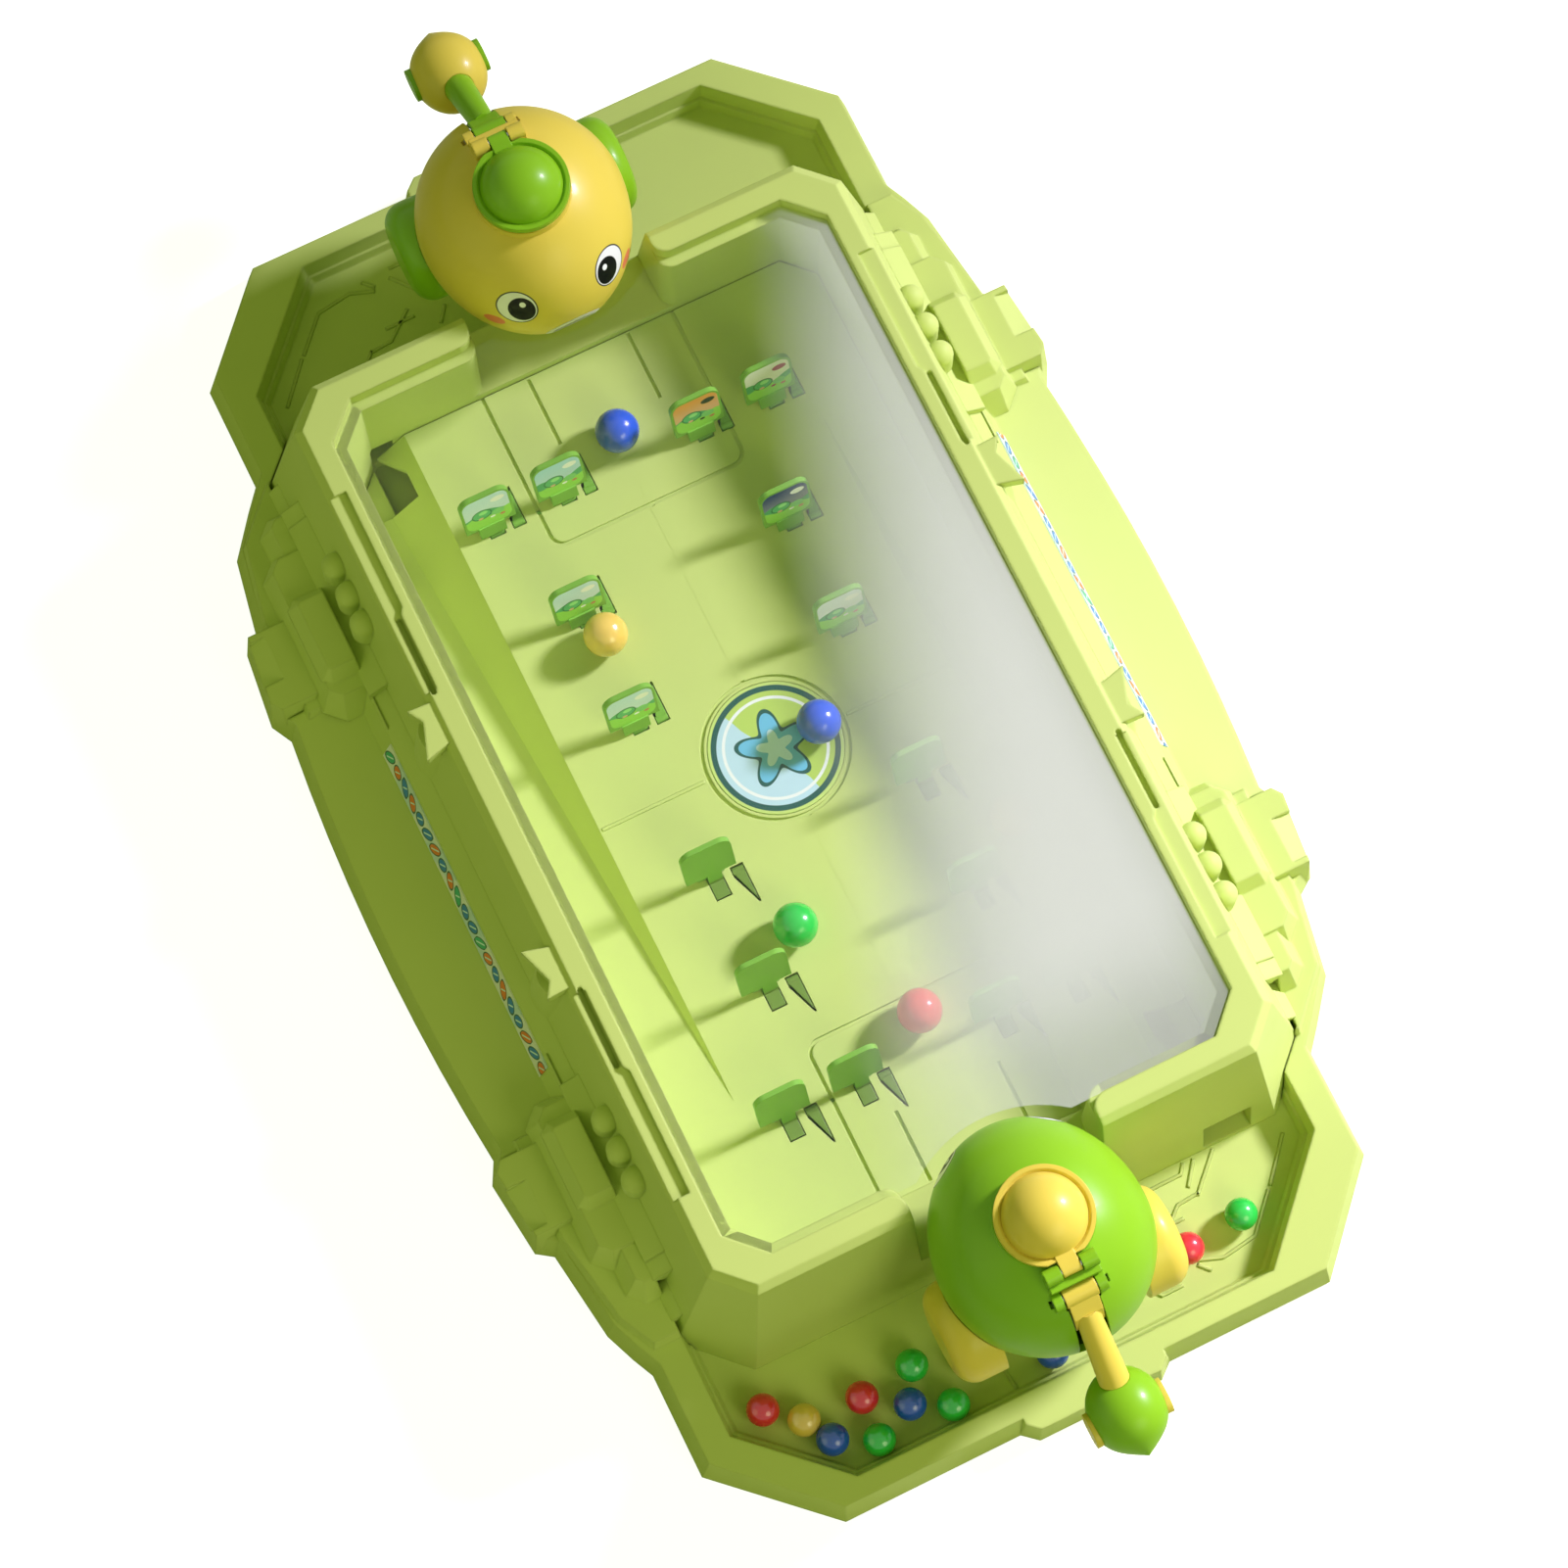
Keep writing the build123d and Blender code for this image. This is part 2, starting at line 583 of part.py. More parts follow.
# Label strips on the sloped faces beside the housing
label_thickness = 0.4
label_ends = (-53.0, 61.0)
rise = (label_head[0] - label_foot[0], label_head[1] - label_foot[1])
lift = (label_thickness * rise[1] / sqrt(rise[0] ** 2 + rise[1] ** 2),
        -label_thickness * rise[0] / sqrt(rise[0] ** 2 + rise[1] ** 2))
low = (label_foot[0] + 0.06 * rise[0], label_foot[1] + 0.06 * rise[1])
high = (label_foot[0] + 0.94 * rise[0], label_foot[1] + 0.94 * rise[1])
with BuildPart() as label_strips:
    for side in (-1, 1):
        with BuildSketch(Plane.XZ.offset(-side * (label_ends[0] + label_ends[1]) / 2)):
            outline((side * low[0], low[1]), (side * high[0], high[1]),
                    (side * (high[0] + lift[0]), high[1] + lift[1]), (side * (low[0] + lift[0]), low[1] + lift[1]))
        extrude(amount=(label_ends[1] - label_ends[0]) / 2, both=True)
keep(label_strips, "label_strips")

# Targets
lean = radians(target_lean)
for name, ((x, y), end) in target_places.items():
    back = 1 if end == "near" else -1
    face = Plane(origin=(x, y, axle_z), x_dir=(1, 0, 0), z_dir=(0, -cos(lean), sin(lean)))
    with BuildPart() as target:
        with BuildSketch(face.offset(-target_thickness / 2)):
            with Locations((0, (target_foot_height + target_top) / 2)):
                RectangleRounded(2 * target_half_width, target_top - target_foot_height, target_round)
            with Locations((0, target_foot_height + 3)):
                Rectangle(2 * target_half_width, 6)
            with Locations((sum(target_neck) / 2, target_foot_height / 2 + 0.5)):
                Rectangle(target_neck[1] - target_neck[0], target_foot_height + 1)
        extrude(amount=target_thickness)
        # Lip in front of the foot, cut away behind where it would meet the deck
        half = target_thickness / 2
        side_plane = Plane(origin=(x - target_foot_half, y, axle_z), x_dir=face.z_dir * -back, z_dir=(1, 0, 0))
        with BuildSketch(side_plane):
            outline(*[(front, back * up) for front, up in
                      ((-half, target_foot_height), (-half, target_foot_height + 1), (half + 0.6, target_foot_height + 1),
                       (half + 0.6, 2.1), (half, 2.1), (0, 4.3))])
        extrude(amount=2 * target_foot_half)
        # Hub and axle
        for start, stop, radius in ((*target_neck, hub_radius), (*fin_span, hub_radius),
                                    (axle_end, fin_span[1], axle_radius)):
            with BuildSketch(Plane(origin=(x + start, y, axle_z), x_dir=(0, 1, 0), z_dir=(1, 0, 0))):
                Circle(radius)
            extrude(amount=stop - start)
        # Heel that stops the target upright, and the pointed lever that sets it up again
        with BuildSketch(Plane.XY.offset(playfield - lever_top)):
            outline((x + target_neck[0], y), (x + target_neck[1], y), (x + target_neck[1], y - back * heel_length),
                    (x + target_neck[0], y - back * heel_length))
            outline((x + fin_span[0], y), (x + fin_span[1], y), (x + fin_span[1], y - back * fin_length))
        extrude(amount=-lever_thickness)
    keep(target, name)


# Launchers, modelled at the near end
def egg(grow=0.0):
    """Round launcher body: a ball with a longer snout, grown by a gap or drawn in by a wall."""
    middle = Plane(origin=(0, launcher_y, body_z), x_dir=(0, 1, 0), z_dir=(1, 0, 0))
    with BuildPart() as body:
        with BuildSketch(middle):
            with BuildLine():
                EllipticalCenterArc((0, 0), snout_reach + grow, body_radius + grow, 0, arc_size=90)
                CenterArc((0, 0), body_radius + grow, 90, 90)
                Line((-body_radius - grow, 0), (snout_reach + grow, 0))
            make_face()
        revolve(axis=Axis((0, launcher_y, body_z), (0, 1, 0)))
    return body.part


hopper_outer = 9.4
hopper_bore = 7.9
collar_radius = 15.2
collar_top = lid_z[0] - clearance

with BuildPart() as pedestal:
    with BuildSketch(Plane.XY.offset(tray_floor)):
        with Locations((0, launcher_y)):
            Circle(pedestal_radius)
            Circle(spigot_radius + running_gap, mode=Mode.SUBTRACT)
    extrude(amount=pedestal_top - tray_floor)
keep_pair(pedestal, "pedestal")

with BuildPart() as turntable:
    with BuildSketch(Plane.XY.offset(turntable_z)):
        with Locations((0, launcher_y)):
            Circle(turntable_radius)
    extrude(amount=cradle_top - turntable_z)
    fillet(turntable.edges().group_by(Axis.Z)[0], 0.8)
    add(egg(clearance), mode=Mode.SUBTRACT)
    with BuildSketch(Plane.XY.offset(turntable_z)):
        with Locations((0, launcher_y)):
            Circle(spigot_radius)
    extrude(amount=tray_floor + 2 - turntable_z)
keep_pair(turntable, "turntable")

with BuildPart() as shell:
    add(egg())
    add(egg(-body_wall), mode=Mode.SUBTRACT)
    # Flat seat for the lid and its collar
    with BuildSketch(Plane.XY.offset(collar_top - 6)):
        with Locations((0, hatch_y)):
            Circle(collar_radius)
            Circle(hopper_outer + clearance, mode=Mode.SUBTRACT)
    extrude(amount=6)
    with BuildSketch(Plane.XY.offset(collar_top)):
        with Locations((0, hatch_y)):
            Circle(collar_radius + 2)
    extrude(amount=10, mode=Mode.SUBTRACT)
    with BuildSketch(Plane.XY.offset(body_z)):
        with Locations((0, hatch_y)):
            Circle(hopper_outer + clearance)
    extrude(amount=40, mode=Mode.SUBTRACT)
    # Mouth
    with BuildSketch(Plane.XZ.offset(-launcher_y)):
        with Locations((0, barrel_z)):
            Circle(bore_radius + barrel_wall + clearance)
    extrude(amount=-60, mode=Mode.SUBTRACT)
    # Hinge blocks of the lid with the bar behind them
    block_foot = body_z + 24
    for side in (-1, 1):
        with BuildSketch(Plane.YZ.offset(side * (tab_half + 2.9))):
            with Locations((lid_pin_y, lid_pin_z)):
                Circle(2.5)
            outline((lid_pin_y - 2.5, block_foot), (lid_pin_y + 2.5, block_foot), (lid_pin_y + 2.5, lid_pin_z),
                    (lid_pin_y - 2.5, lid_pin_z))
        extrude(amount=2.5, both=True)
        # Bosses inside for the tail pin
        with BuildSketch(Plane.YZ.offset(side * (tail_slot_half + 1.5))):
            with Locations((tail_pin_y, tail_pin_z)):
                Circle(3.4)
        extrude(amount=1.5, both=True)
    with BuildSketch(Plane.YZ):
        with Locations((lid_pin_y, lid_pin_z)):
            Circle(lid_pin_radius + running_gap)
        with Locations((tail_pin_y, tail_pin_z)):
            Circle(tail_pin_radius + running_gap)
    extrude(amount=tail_slot_half + 4, both=True, mode=Mode.SUBTRACT)
    # Slot for the tail, wider round the hub
    with BuildSketch(Plane.YZ):
        outline((-240, tail_slot_floor), (-200, tail_slot_floor), (-200, 84), (tail_pin_y + 3.6, tail_pin_z - 3),
                (tail_pin_y + 3.6, 110), (-240, 110))
    extrude(amount=tube_radius + clearance, both=True, mode=Mode.SUBTRACT)
    with BuildSketch(Plane.YZ):
        with Locations((tail_pin_y, tail_pin_z)):
            Circle(guard_radius + 2 * clearance)
        outline((tail_pin_y - guard_radius - 2 * clearance, tail_pin_z), (tail_pin_y + 3.6, tail_pin_z),
                (tail_pin_y + 3.6, 110), (tail_pin_y - guard_radius - 2 * clearance, 110))
    extrude(amount=tail_slot_half, both=True, mode=Mode.SUBTRACT)
    with BuildSketch(Plane.YZ):
        outline((tail_pin_y + 1.6, tail_pin_z + 3.6), (tail_pin_y + 4.2, tail_pin_z + 3.6),
                (tail_pin_y + 4.2, tail_pin_z + 6.8), (tail_pin_y + 1.6, tail_pin_z + 6.8))
    extrude(amount=8.2, both=True)
    # Sockets for the haunches
    with BuildSketch(Plane.YZ):
        with Locations((haunch_y, haunch_z)):
            Circle(haunch_stub + running_gap)
    extrude(amount=40, both=True, mode=Mode.SUBTRACT)
keep_pair(shell, "shell")

with BuildPart() as barrel:
    with BuildSketch(Plane.XZ.offset(-barrel_back)):
        with Locations((0, barrel_z)):
            Circle(bore_radius + barrel_wall)
    extrude(amount=barrel_back - barrel_front)
    with BuildSketch(Plane.XY.offset(barrel_z)):
        with Locations((0, hatch_y)):
            Circle(hopper_outer)
    extrude(amount=collar_top - barrel_z)
    with BuildSketch(Plane.XZ.offset(-barrel_back - 1.6)):
        with Locations((0, barrel_z)):
            Circle(bore_radius)
    extrude(amount=-70, mode=Mode.SUBTRACT)
    with BuildSketch(Plane.XY.offset(barrel_z)):
        with Locations((0, hatch_y)):
            Circle(hopper_bore)
    extrude(amount=50, mode=Mode.SUBTRACT)
    with BuildSketch(Plane.XZ.offset(-barrel_back + 1)):
        with Locations((0, barrel_z)):
            Circle(striker_rod_radius + running_gap)
    extrude(amount=-4, mode=Mode.SUBTRACT)
    with BuildPart(mode=Mode.PRIVATE) as limit:
        add(egg())
        with BuildSketch(Plane.XY.offset(collar_top - 5)):
            with Locations((0, hatch_y)):
                Circle(hopper_outer + 1)
        extrude(amount=5)
    add(limit.part, mode=Mode.INTERSECT)
keep_pair(barrel, "barrel")

def cap(radius, base, height):
    """Circular arc of a dome, from its foot to the axis."""
    ball = (radius ** 2 + height ** 2) / (2 * height)
    middle = atan2(radius, ball - height) / 2
    return ThreePointArc((radius, base), (ball * sin(middle), base + height - ball * (1 - cos(middle))),
                         (0, base + height))


lid_wall = 1.6
with BuildPart() as lid:
    with BuildSketch(Plane(origin=(0, hatch_y, lid_z[0]), x_dir=(1, 0, 0), z_dir=(0, -1, 0))):
        with BuildLine():
            rim = lid_z[1] - lid_z[0]
            Polyline((dome_radius - lid_wall, rim - 1), (dome_radius - lid_wall, 0), (lid_radius, 0),
                     (lid_radius, rim), (dome_radius + 0.8, rim), (dome_radius, rim - 0.8))
            cap(dome_radius, rim - 0.8, dome_height)
            Line((0, rim - 0.8 + dome_height), (0, rim - 1 + dome_height - lid_wall))
            cap(dome_radius - lid_wall, rim - 1, dome_height - lid_wall)
        make_face()
    revolve(axis=Axis((0, hatch_y, 0), (0, 0, 1)))
    with BuildSketch(Plane.XY.offset(lid_z[0] - 1)):
        with Locations((0, lid_pin_y - 7)):
            Rectangle(30, 20)
    extrude(amount=6, mode=Mode.SUBTRACT)
    with BuildSketch(Plane.YZ):
        with Locations((lid_pin_y, lid_pin_z)):
            Circle(2.0)
        outline((lid_pin_y, lid_z[0]), (lid_pin_y + 6, lid_z[0]), (lid_pin_y + 6, lid_z[1]),
                (lid_pin_y, lid_pin_z + 2.0))
    extrude(amount=tab_half, both=True)
    with BuildSketch(Plane.YZ):
        with Locations((lid_pin_y, lid_pin_z)):
            Circle(lid_pin_radius + running_gap)
    extrude(amount=10, both=True, mode=Mode.SUBTRACT)
keep_pair(lid, "lid")

with BuildPart() as lid_pin:
    with BuildSketch(Plane.YZ.offset(-8)):
        with Locations((lid_pin_y, lid_pin_z)):
            Circle(lid_pin_radius)
    extrude(amount=16)
keep_pair(lid_pin, "lid_pin")

with BuildPart() as haunches:
    for side in (-1, 1):
        with BuildSketch(Plane.YZ.offset(side * haunch_inner)):
            with Locations((haunch_y, haunch_z)):
                Circle(haunch_radius)
        extrude(amount=side * (haunch_outer - haunch_inner))
    fillet(haunches.faces().sort_by(Axis.X)[-1].edges() + haunches.faces().sort_by(Axis.X)[0].edges(), 7)
    add(egg(clearance / 2), mode=Mode.SUBTRACT)
    for side in (-1, 1):
        with BuildSketch(Plane.YZ.offset(side * (haunch_inner - 3.5))):
            with Locations((haunch_y, haunch_z)):
                Circle(haunch_stub)
        extrude(amount=side * 8)
keep_pair(haunches, "haunches")

# Tail lever: hub, arm that moves the striker, two spines and the tube that carries the bulb.
# The arm's tip swings evenly to both sides of the upright through the hub, so that it stays in the striker's yoke.
link = tail_pin_z - barrel_z
half_swing = radians(tail_swing / 2)
arm_tip, arm_neck = [(tail_pin_y - reach * sin(half_swing), tail_pin_z - reach * cos(half_swing))
                     for reach in (link, 0.7 * link)]
tail_start = (-205.0, 84.6)
tail_end = (-226.5, 68.0)
with BuildPart() as tail_lever:
    with BuildSketch(Plane.YZ):
        with Locations((tail_pin_y, tail_pin_z)):
            Circle(3.1)
        with Locations(arm_tip):
            Circle(arm_tip_radius)
        outline((tail_pin_y - 2.6, tail_pin_z - 1.6), (tail_pin_y + 2.2, tail_pin_z - 2.2),
                (arm_neck[0] + arm_neck_half, arm_neck[1]), (arm_tip[0] + arm_neck_half, arm_tip[1]),
                (arm_tip[0] - arm_neck_half, arm_tip[1]), (arm_neck[0] - arm_neck_half, arm_neck[1]))
    extrude(amount=arm_half, both=True)
    with BuildSketch(Plane.YZ):
        with Locations((tail_pin_y, tail_pin_z)):
            Circle(3.1)
        outline((tail_pin_y - 2, tail_pin_z - 2.8), (tail_pin_y + 1, tail_pin_z + 2.9), (-207, 86.8), (-209, 80))
    extrude(amount=tail_arm_half, both=True)
    # Wide saddle behind the hub, and rings over the return springs
    with BuildSketch(Plane.YZ):
        outline((tail_pin_y - 3.4, tail_pin_z - 1.0), (tail_pin_y - 1.0, tail_pin_z + 3.4), (-207, 86.8), (-209, 80))
        with Locations((tail_pin_y, tail_pin_z)):
            Circle(guard_bore, mode=Mode.SUBTRACT)
    extrude(amount=tail_saddle_half, both=True)
    with BuildSketch(Plane.YZ):
        with Locations((tail_pin_y, tail_pin_z)):
            Circle(guard_radius)
            Circle(guard_bore, mode=Mode.SUBTRACT)
        with BuildSketch(mode=Mode.SUBTRACT):
            outline((tail_pin_y - 10, tail_pin_z - 4.2), (tail_pin_y + 10, tail_pin_z + 5.0),
                    (tail_pin_y + 10, tail_pin_z - 10), (tail_pin_y - 10, tail_pin_z - 10))
    extrude(amount=guard_half, both=True)
    slope = (tail_end[0] - tail_start[0], tail_end[1] - tail_start[1])
    reach = sqrt(slope[0] ** 2 + slope[1] ** 2)
    along = Plane(origin=(0, tail_start[0], tail_start[1]), x_dir=(1, 0, 0),
                  z_dir=(0, slope[0] / reach, slope[1] / reach))
    with BuildSketch(along):
        Circle(0.8 * tube_radius)
    with BuildSketch(along.offset(reach)):
        Circle(tube_radius)
    loft()
    for start, width in ((-9.5, 4.3), (0.5, 4.8)):
        with BuildSketch(along.offset(start)):
            with Locations((0, -3.4 if start > 0 else -2.4)):
                outline((-width, 0), (width, 0), (0, -5.2))
        extrude(amount=8.5, taper=12)
    with BuildSketch(Plane.YZ):
        with Locations((tail_pin_y, tail_pin_z)):
            Circle(tail_pin_radius + running_gap)
    extrude(amount=10, both=True, mode=Mode.SUBTRACT)
keep_pair(tail_lever, "tail_lever")

with BuildPart() as tail_pin:
    with BuildSketch(Plane.YZ.offset(-tail_slot_half - 3)):
        with Locations((tail_pin_y, tail_pin_z)):
            Circle(tail_pin_radius)
    extrude(amount=2 * tail_slot_half + 6)
keep_pair(tail_pin, "tail_pin")

bulb_front = 13.4
bulb_tip = 14.9
bulb_plane = Plane(origin=(0, bulb_y, bulb_z), x_dir=(0, -1, 0), z_dir=(1, 0, 0))
with BuildPart() as tail_bulb:
    with BuildSketch(bulb_plane):
        with BuildLine():
            EllipticalCenterArc((0, 0), bulb_front, bulb_radius, 90, arc_size=90)
            Spline((0, bulb_radius), (8.8, 9.0), (bulb_tip, 0), tangents=((1, 0), (0.55, -1)))
            Line((-bulb_front, 0), (bulb_tip, 0))
        make_face()
    revolve(axis=Axis((0, bulb_y, bulb_z), (0, 1, 0)))
    add(tail_lever.part, mode=Mode.SUBTRACT)
    for side in (-1, 1):
        with BuildSketch(Plane.YZ.offset(side * (bulb_radius - 1.5))):
            with Locations((bulb_y - 1, bulb_z)):
                Ellipse(5.5 + clearance / 2, 4.2 + clearance / 2)
        extrude(amount=side * 4, mode=Mode.SUBTRACT)
keep_pair(tail_bulb, "tail_bulb")

with BuildPart() as bulb_ovals:
    for side in (-1, 1):
        with BuildSketch(Plane.YZ.offset(side * (bulb_radius - 1.4))):
            with Locations((bulb_y - 1, bulb_z)):
                Ellipse(5.5, 4.2)
        extrude(amount=side * 2.0)
keep_pair(bulb_ovals, "bulb_ovals")

# Striker with the yoke that takes the arm's tip, and the spring that returns the tail
with BuildPart() as striker:
    for front, length, radius in ((striker_front, striker_head, striker_head_radius),
                                  (striker_front - striker_head, striker_front - striker_head - arm_tip[0],
                                   striker_rod_radius),
                                  (arm_tip[0] + yoke_half, 2 * yoke_half, yoke_radius)):
        with BuildSketch(Plane.XZ.offset(-front)):
            with Locations((0, barrel_z)):
                Circle(radius)
        extrude(amount=length)
    with BuildSketch(Plane.YZ):
        with Locations(arm_tip):
            Circle(arm_tip_radius + clearance)
        with Locations((arm_tip[0], arm_tip[1] + yoke_radius)):
            Rectangle(2 * (arm_tip_radius + clearance), 2 * yoke_radius)
    extrude(amount=arm_half + clearance, both=True, mode=Mode.SUBTRACT)
keep_pair(striker, "striker")

spring_start = tail_arm_half + spring_wire + 0.1
spring_pitch = 2 * spring_wire + 0.05
with BuildPart() as return_spring:
    with BuildLine():
        coil = Helix(pitch=spring_pitch, height=spring_turns * spring_pitch, radius=spring_radius,
                     center=(spring_start, tail_pin_y, tail_pin_z), direction=(1, 0, 0))
    with BuildSketch(Plane(origin=coil @ 0, z_dir=coil % 0)):
        Circle(spring_wire)
    sweep(path=coil, is_frenet=True)
keep_pair(return_spring, "return_spring")

# Balls, in groups of one colour
tray_balls = {"red": [(-93.8, -182.2), (-64.9, -192.1), (45.7, -195.3)],
              "yellow": [(-83.8, -190.5), (-30.6, -197.9)],
              "blue": [(-78.6, -199.6), (-52.6, -200.4), (-6.3, -205.4)],
              "green": [(-46.8, -190.0), (-40.7, -206.4), (-65.8, -206.0), (65.3, -193.1)]}
play_balls = {"red": [(2.2, -95.8)], "yellow": [(-32.5, 54.7), (55.7, -53.2)],
              "blue": [(-0.3, 113.4), (14.9, 0.0)], "green": [(-20.2, -54.9)]}
for colour in ("red", "yellow", "blue", "green"):
    with BuildPart() as balls:
        with Locations(*[(x, y, tray_floor + tray_ball_radius) for x, y in tray_balls[colour]]):
            Sphere(tray_ball_radius)
        for x, y in play_balls[colour]:
            step = medallion_thickness - medallion_recess if sqrt(x * x + y * y) < medallion_radius else 0
            with Locations((x, y, playfield + step + play_ball_radius)):
                Sphere(play_ball_radius)
    keep(balls, f"{colour}_balls")
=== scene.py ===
"""Looks of the tabletop pinball game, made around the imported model. Metres, in the model's own frame."""
import math

import bmesh
import bpy
from mathutils import Matrix, Vector


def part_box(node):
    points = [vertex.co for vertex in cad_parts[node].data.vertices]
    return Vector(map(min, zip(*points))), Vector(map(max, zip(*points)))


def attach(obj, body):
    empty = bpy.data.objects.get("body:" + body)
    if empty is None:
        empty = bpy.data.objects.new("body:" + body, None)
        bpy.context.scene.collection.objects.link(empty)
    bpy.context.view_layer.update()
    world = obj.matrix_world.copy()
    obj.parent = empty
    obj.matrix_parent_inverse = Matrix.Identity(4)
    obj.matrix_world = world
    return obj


bl_info = {
    "name": "Tabletop Pinball Game",
    "version": (1, 0, 0),
    "blender": (4, 5, 0),
    "location": "3D View > Sidebar > Pinball",
    "description": "Plastics, prints, stage and camera of a tabletop pinball game",
    "category": "Object",
}

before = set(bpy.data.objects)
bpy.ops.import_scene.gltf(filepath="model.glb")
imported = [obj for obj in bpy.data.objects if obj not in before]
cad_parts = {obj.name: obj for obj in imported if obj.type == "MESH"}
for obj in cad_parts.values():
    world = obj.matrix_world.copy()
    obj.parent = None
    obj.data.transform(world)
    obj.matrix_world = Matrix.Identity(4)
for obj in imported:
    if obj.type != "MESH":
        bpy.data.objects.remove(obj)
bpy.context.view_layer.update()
MM = 0.001

# Places taken from the frame
TRAY_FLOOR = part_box("near_pedestal")[0][2]
MEDALLION_STEP = 0.2 * MM
DECK_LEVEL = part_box("medallion")[1][2] - MEDALLION_STEP
TARGET_ROOT = DECK_LEVEL + 1.2 * MM
BODY_RADIUS = (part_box("near_shell")[1][0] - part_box("near_shell")[0][0]) / 2
BODY_CENTRE_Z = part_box("near_shell")[0][2] + BODY_RADIUS
BODY_CENTRE_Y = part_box("near_shell")[0][1] + BODY_RADIUS

# Lean of the targets, and height of their top over the axle
LEAN = math.radians(16.0)
TARGET_RISE = 23.13 * MM
# Foot of the housing's long walls in millimetres, and how far they draw in for each millimetre of height
WALL_FOOT_X, WALL_FOOT_Z, WALL_DRAFT = 105.0, 19.1, 0.2262


# Shader arithmetic
class Value:
    """A shader socket. Arithmetic on it adds the Math nodes."""

    def __init__(self, maker, socket):
        self.maker = maker
        self.socket = socket

    def _math(self, operation, *others):
        return self.maker.node("ShaderNodeMath", {"operation": operation}, [self, *others])

    def __add__(self, other):
        return self._math("ADD", other)

    __radd__ = __add__

    def __mul__(self, other):
        return self._math("MULTIPLY", other)

    def __sub__(self, other):
        return self._math("SUBTRACT", other)

    def __rsub__(self, other):
        return self.maker.node("ShaderNodeMath", {"operation": "SUBTRACT"}, [other, self])

    def __truediv__(self, other):
        return self._math("DIVIDE", other)

    def __abs__(self):
        return self._math("ABSOLUTE")

    def __pow__(self, other):
        return self._math("POWER", other)

    def maximum(self, other):
        return self._math("MAXIMUM", other)

    def root(self):
        return self._math("SQRT")

    def wave(self):
        return self._math("SINE")

    def repeat(self, period):
        return self._math("WRAP", period, 0.0)

    def below(self, limit, soft):
        """1 under the limit and 0 over it, with an edge that reaches soft to both sides."""
        return self.maker.node("ShaderNodeMapRange", {"interpolation_type": "SMOOTHSTEP"},
                               {"Value": self, "From Min": limit - soft, "From Max": limit + soft,
                                "To Min": 1.0, "To Max": 0.0})

    def above(self, limit, soft):
        return 1 - self.below(limit, soft)


class Finish:
    """One material, and the nodes it is made of."""

    def __init__(self, name):
        self.material = bpy.data.materials.new(name)
        self.material.use_nodes = True
        self.tree = self.material.node_tree
        self.tree.nodes.clear()
        self.place = self.node("ShaderNodeTexCoord", out="Object")

    def node(self, kind, settings=None, inputs=None, out=0):
        node = self.tree.nodes.new(kind)
        for key, value in (settings or {}).items():
            setattr(node, key, value)
        pairs = inputs.items() if isinstance(inputs, dict) else enumerate(inputs or [])
        for key, value in pairs:
            if isinstance(value, Value):
                self.tree.links.new(value.socket, node.inputs[key])
            else:
                node.inputs[key].default_value = value
        return Value(self, node.outputs[out])

    def vector(self, operation, *inputs, out=0):
        return self.node("ShaderNodeVectorMath", {"operation": operation}, list(inputs), out)

    def dot(self, vector, direction):
        return self.vector("DOT_PRODUCT", vector, tuple(direction), out="Value")

    def axis(self, letter, vector=None):
        return self.node("ShaderNodeSeparateXYZ", inputs=[vector or self.place], out=letter)

    def noise(self, scale, detail=2.0, vector=None):
        inputs = {"Vector": vector or self.place, "Scale": scale, "Detail": detail}
        return self.node("ShaderNodeTexNoise", inputs=inputs)

    def mix(self, mask, low, high):
        """Colour low where the mask is 0, colour high where it is 1."""
        node = self.tree.nodes.new("ShaderNodeMix")
        node.data_type = "RGBA"
        for key, value in ((0, mask), (6, low), (7, high)):
            if isinstance(value, Value):
                self.tree.links.new(value.socket, node.inputs[key])
            else:
                node.inputs[key].default_value = value if key == 0 else (*value[:3], 1.0)
        return Value(self, node.outputs[2])

    def tint(self, colour, amount):
        """The colour, made lighter or darker by a value near 1."""
        scaled = self.vector("SCALE", colour if isinstance(colour, Value) else tuple(colour[:3]))
        self.tree.links.new(amount.socket, scaled.socket.node.inputs["Scale"])
        return scaled

    def bump(self, height, depth, normal=None, strength=1.0):
        inputs = {"Height": height, "Distance": depth, "Strength": strength}
        if normal is not None:
            inputs["Normal"] = normal
        return self.node("ShaderNodeBump", inputs=inputs)

    def rounded(self, radius):
        return self.node("ShaderNodeBevel", {"samples": 4}, {"Radius": radius})

    def surface(self, **inputs):
        """Ends the material in one Principled surface."""
        named = {key.replace("_", " "): value for key, value in inputs.items()}
        self.finish_with(self.node("ShaderNodeBsdfPrincipled", inputs=named))

    def finish_with(self, shader):
        """Ends the material in the given shader."""
        output = self.tree.nodes.new("ShaderNodeOutputMaterial")
        self.tree.links.new(shader.socket, output.inputs["Surface"])


# Settings that a user would change
def colour(name, description, value):
    return bpy.props.FloatVectorProperty(name=name, description=description, subtype="COLOR", size=3,
                                         min=0.0, max=1.0, default=value)


def length(name, description, value):
    return bpy.props.FloatProperty(name=name, description=description, subtype="DISTANCE",
                                   unit="LENGTH", default=value)


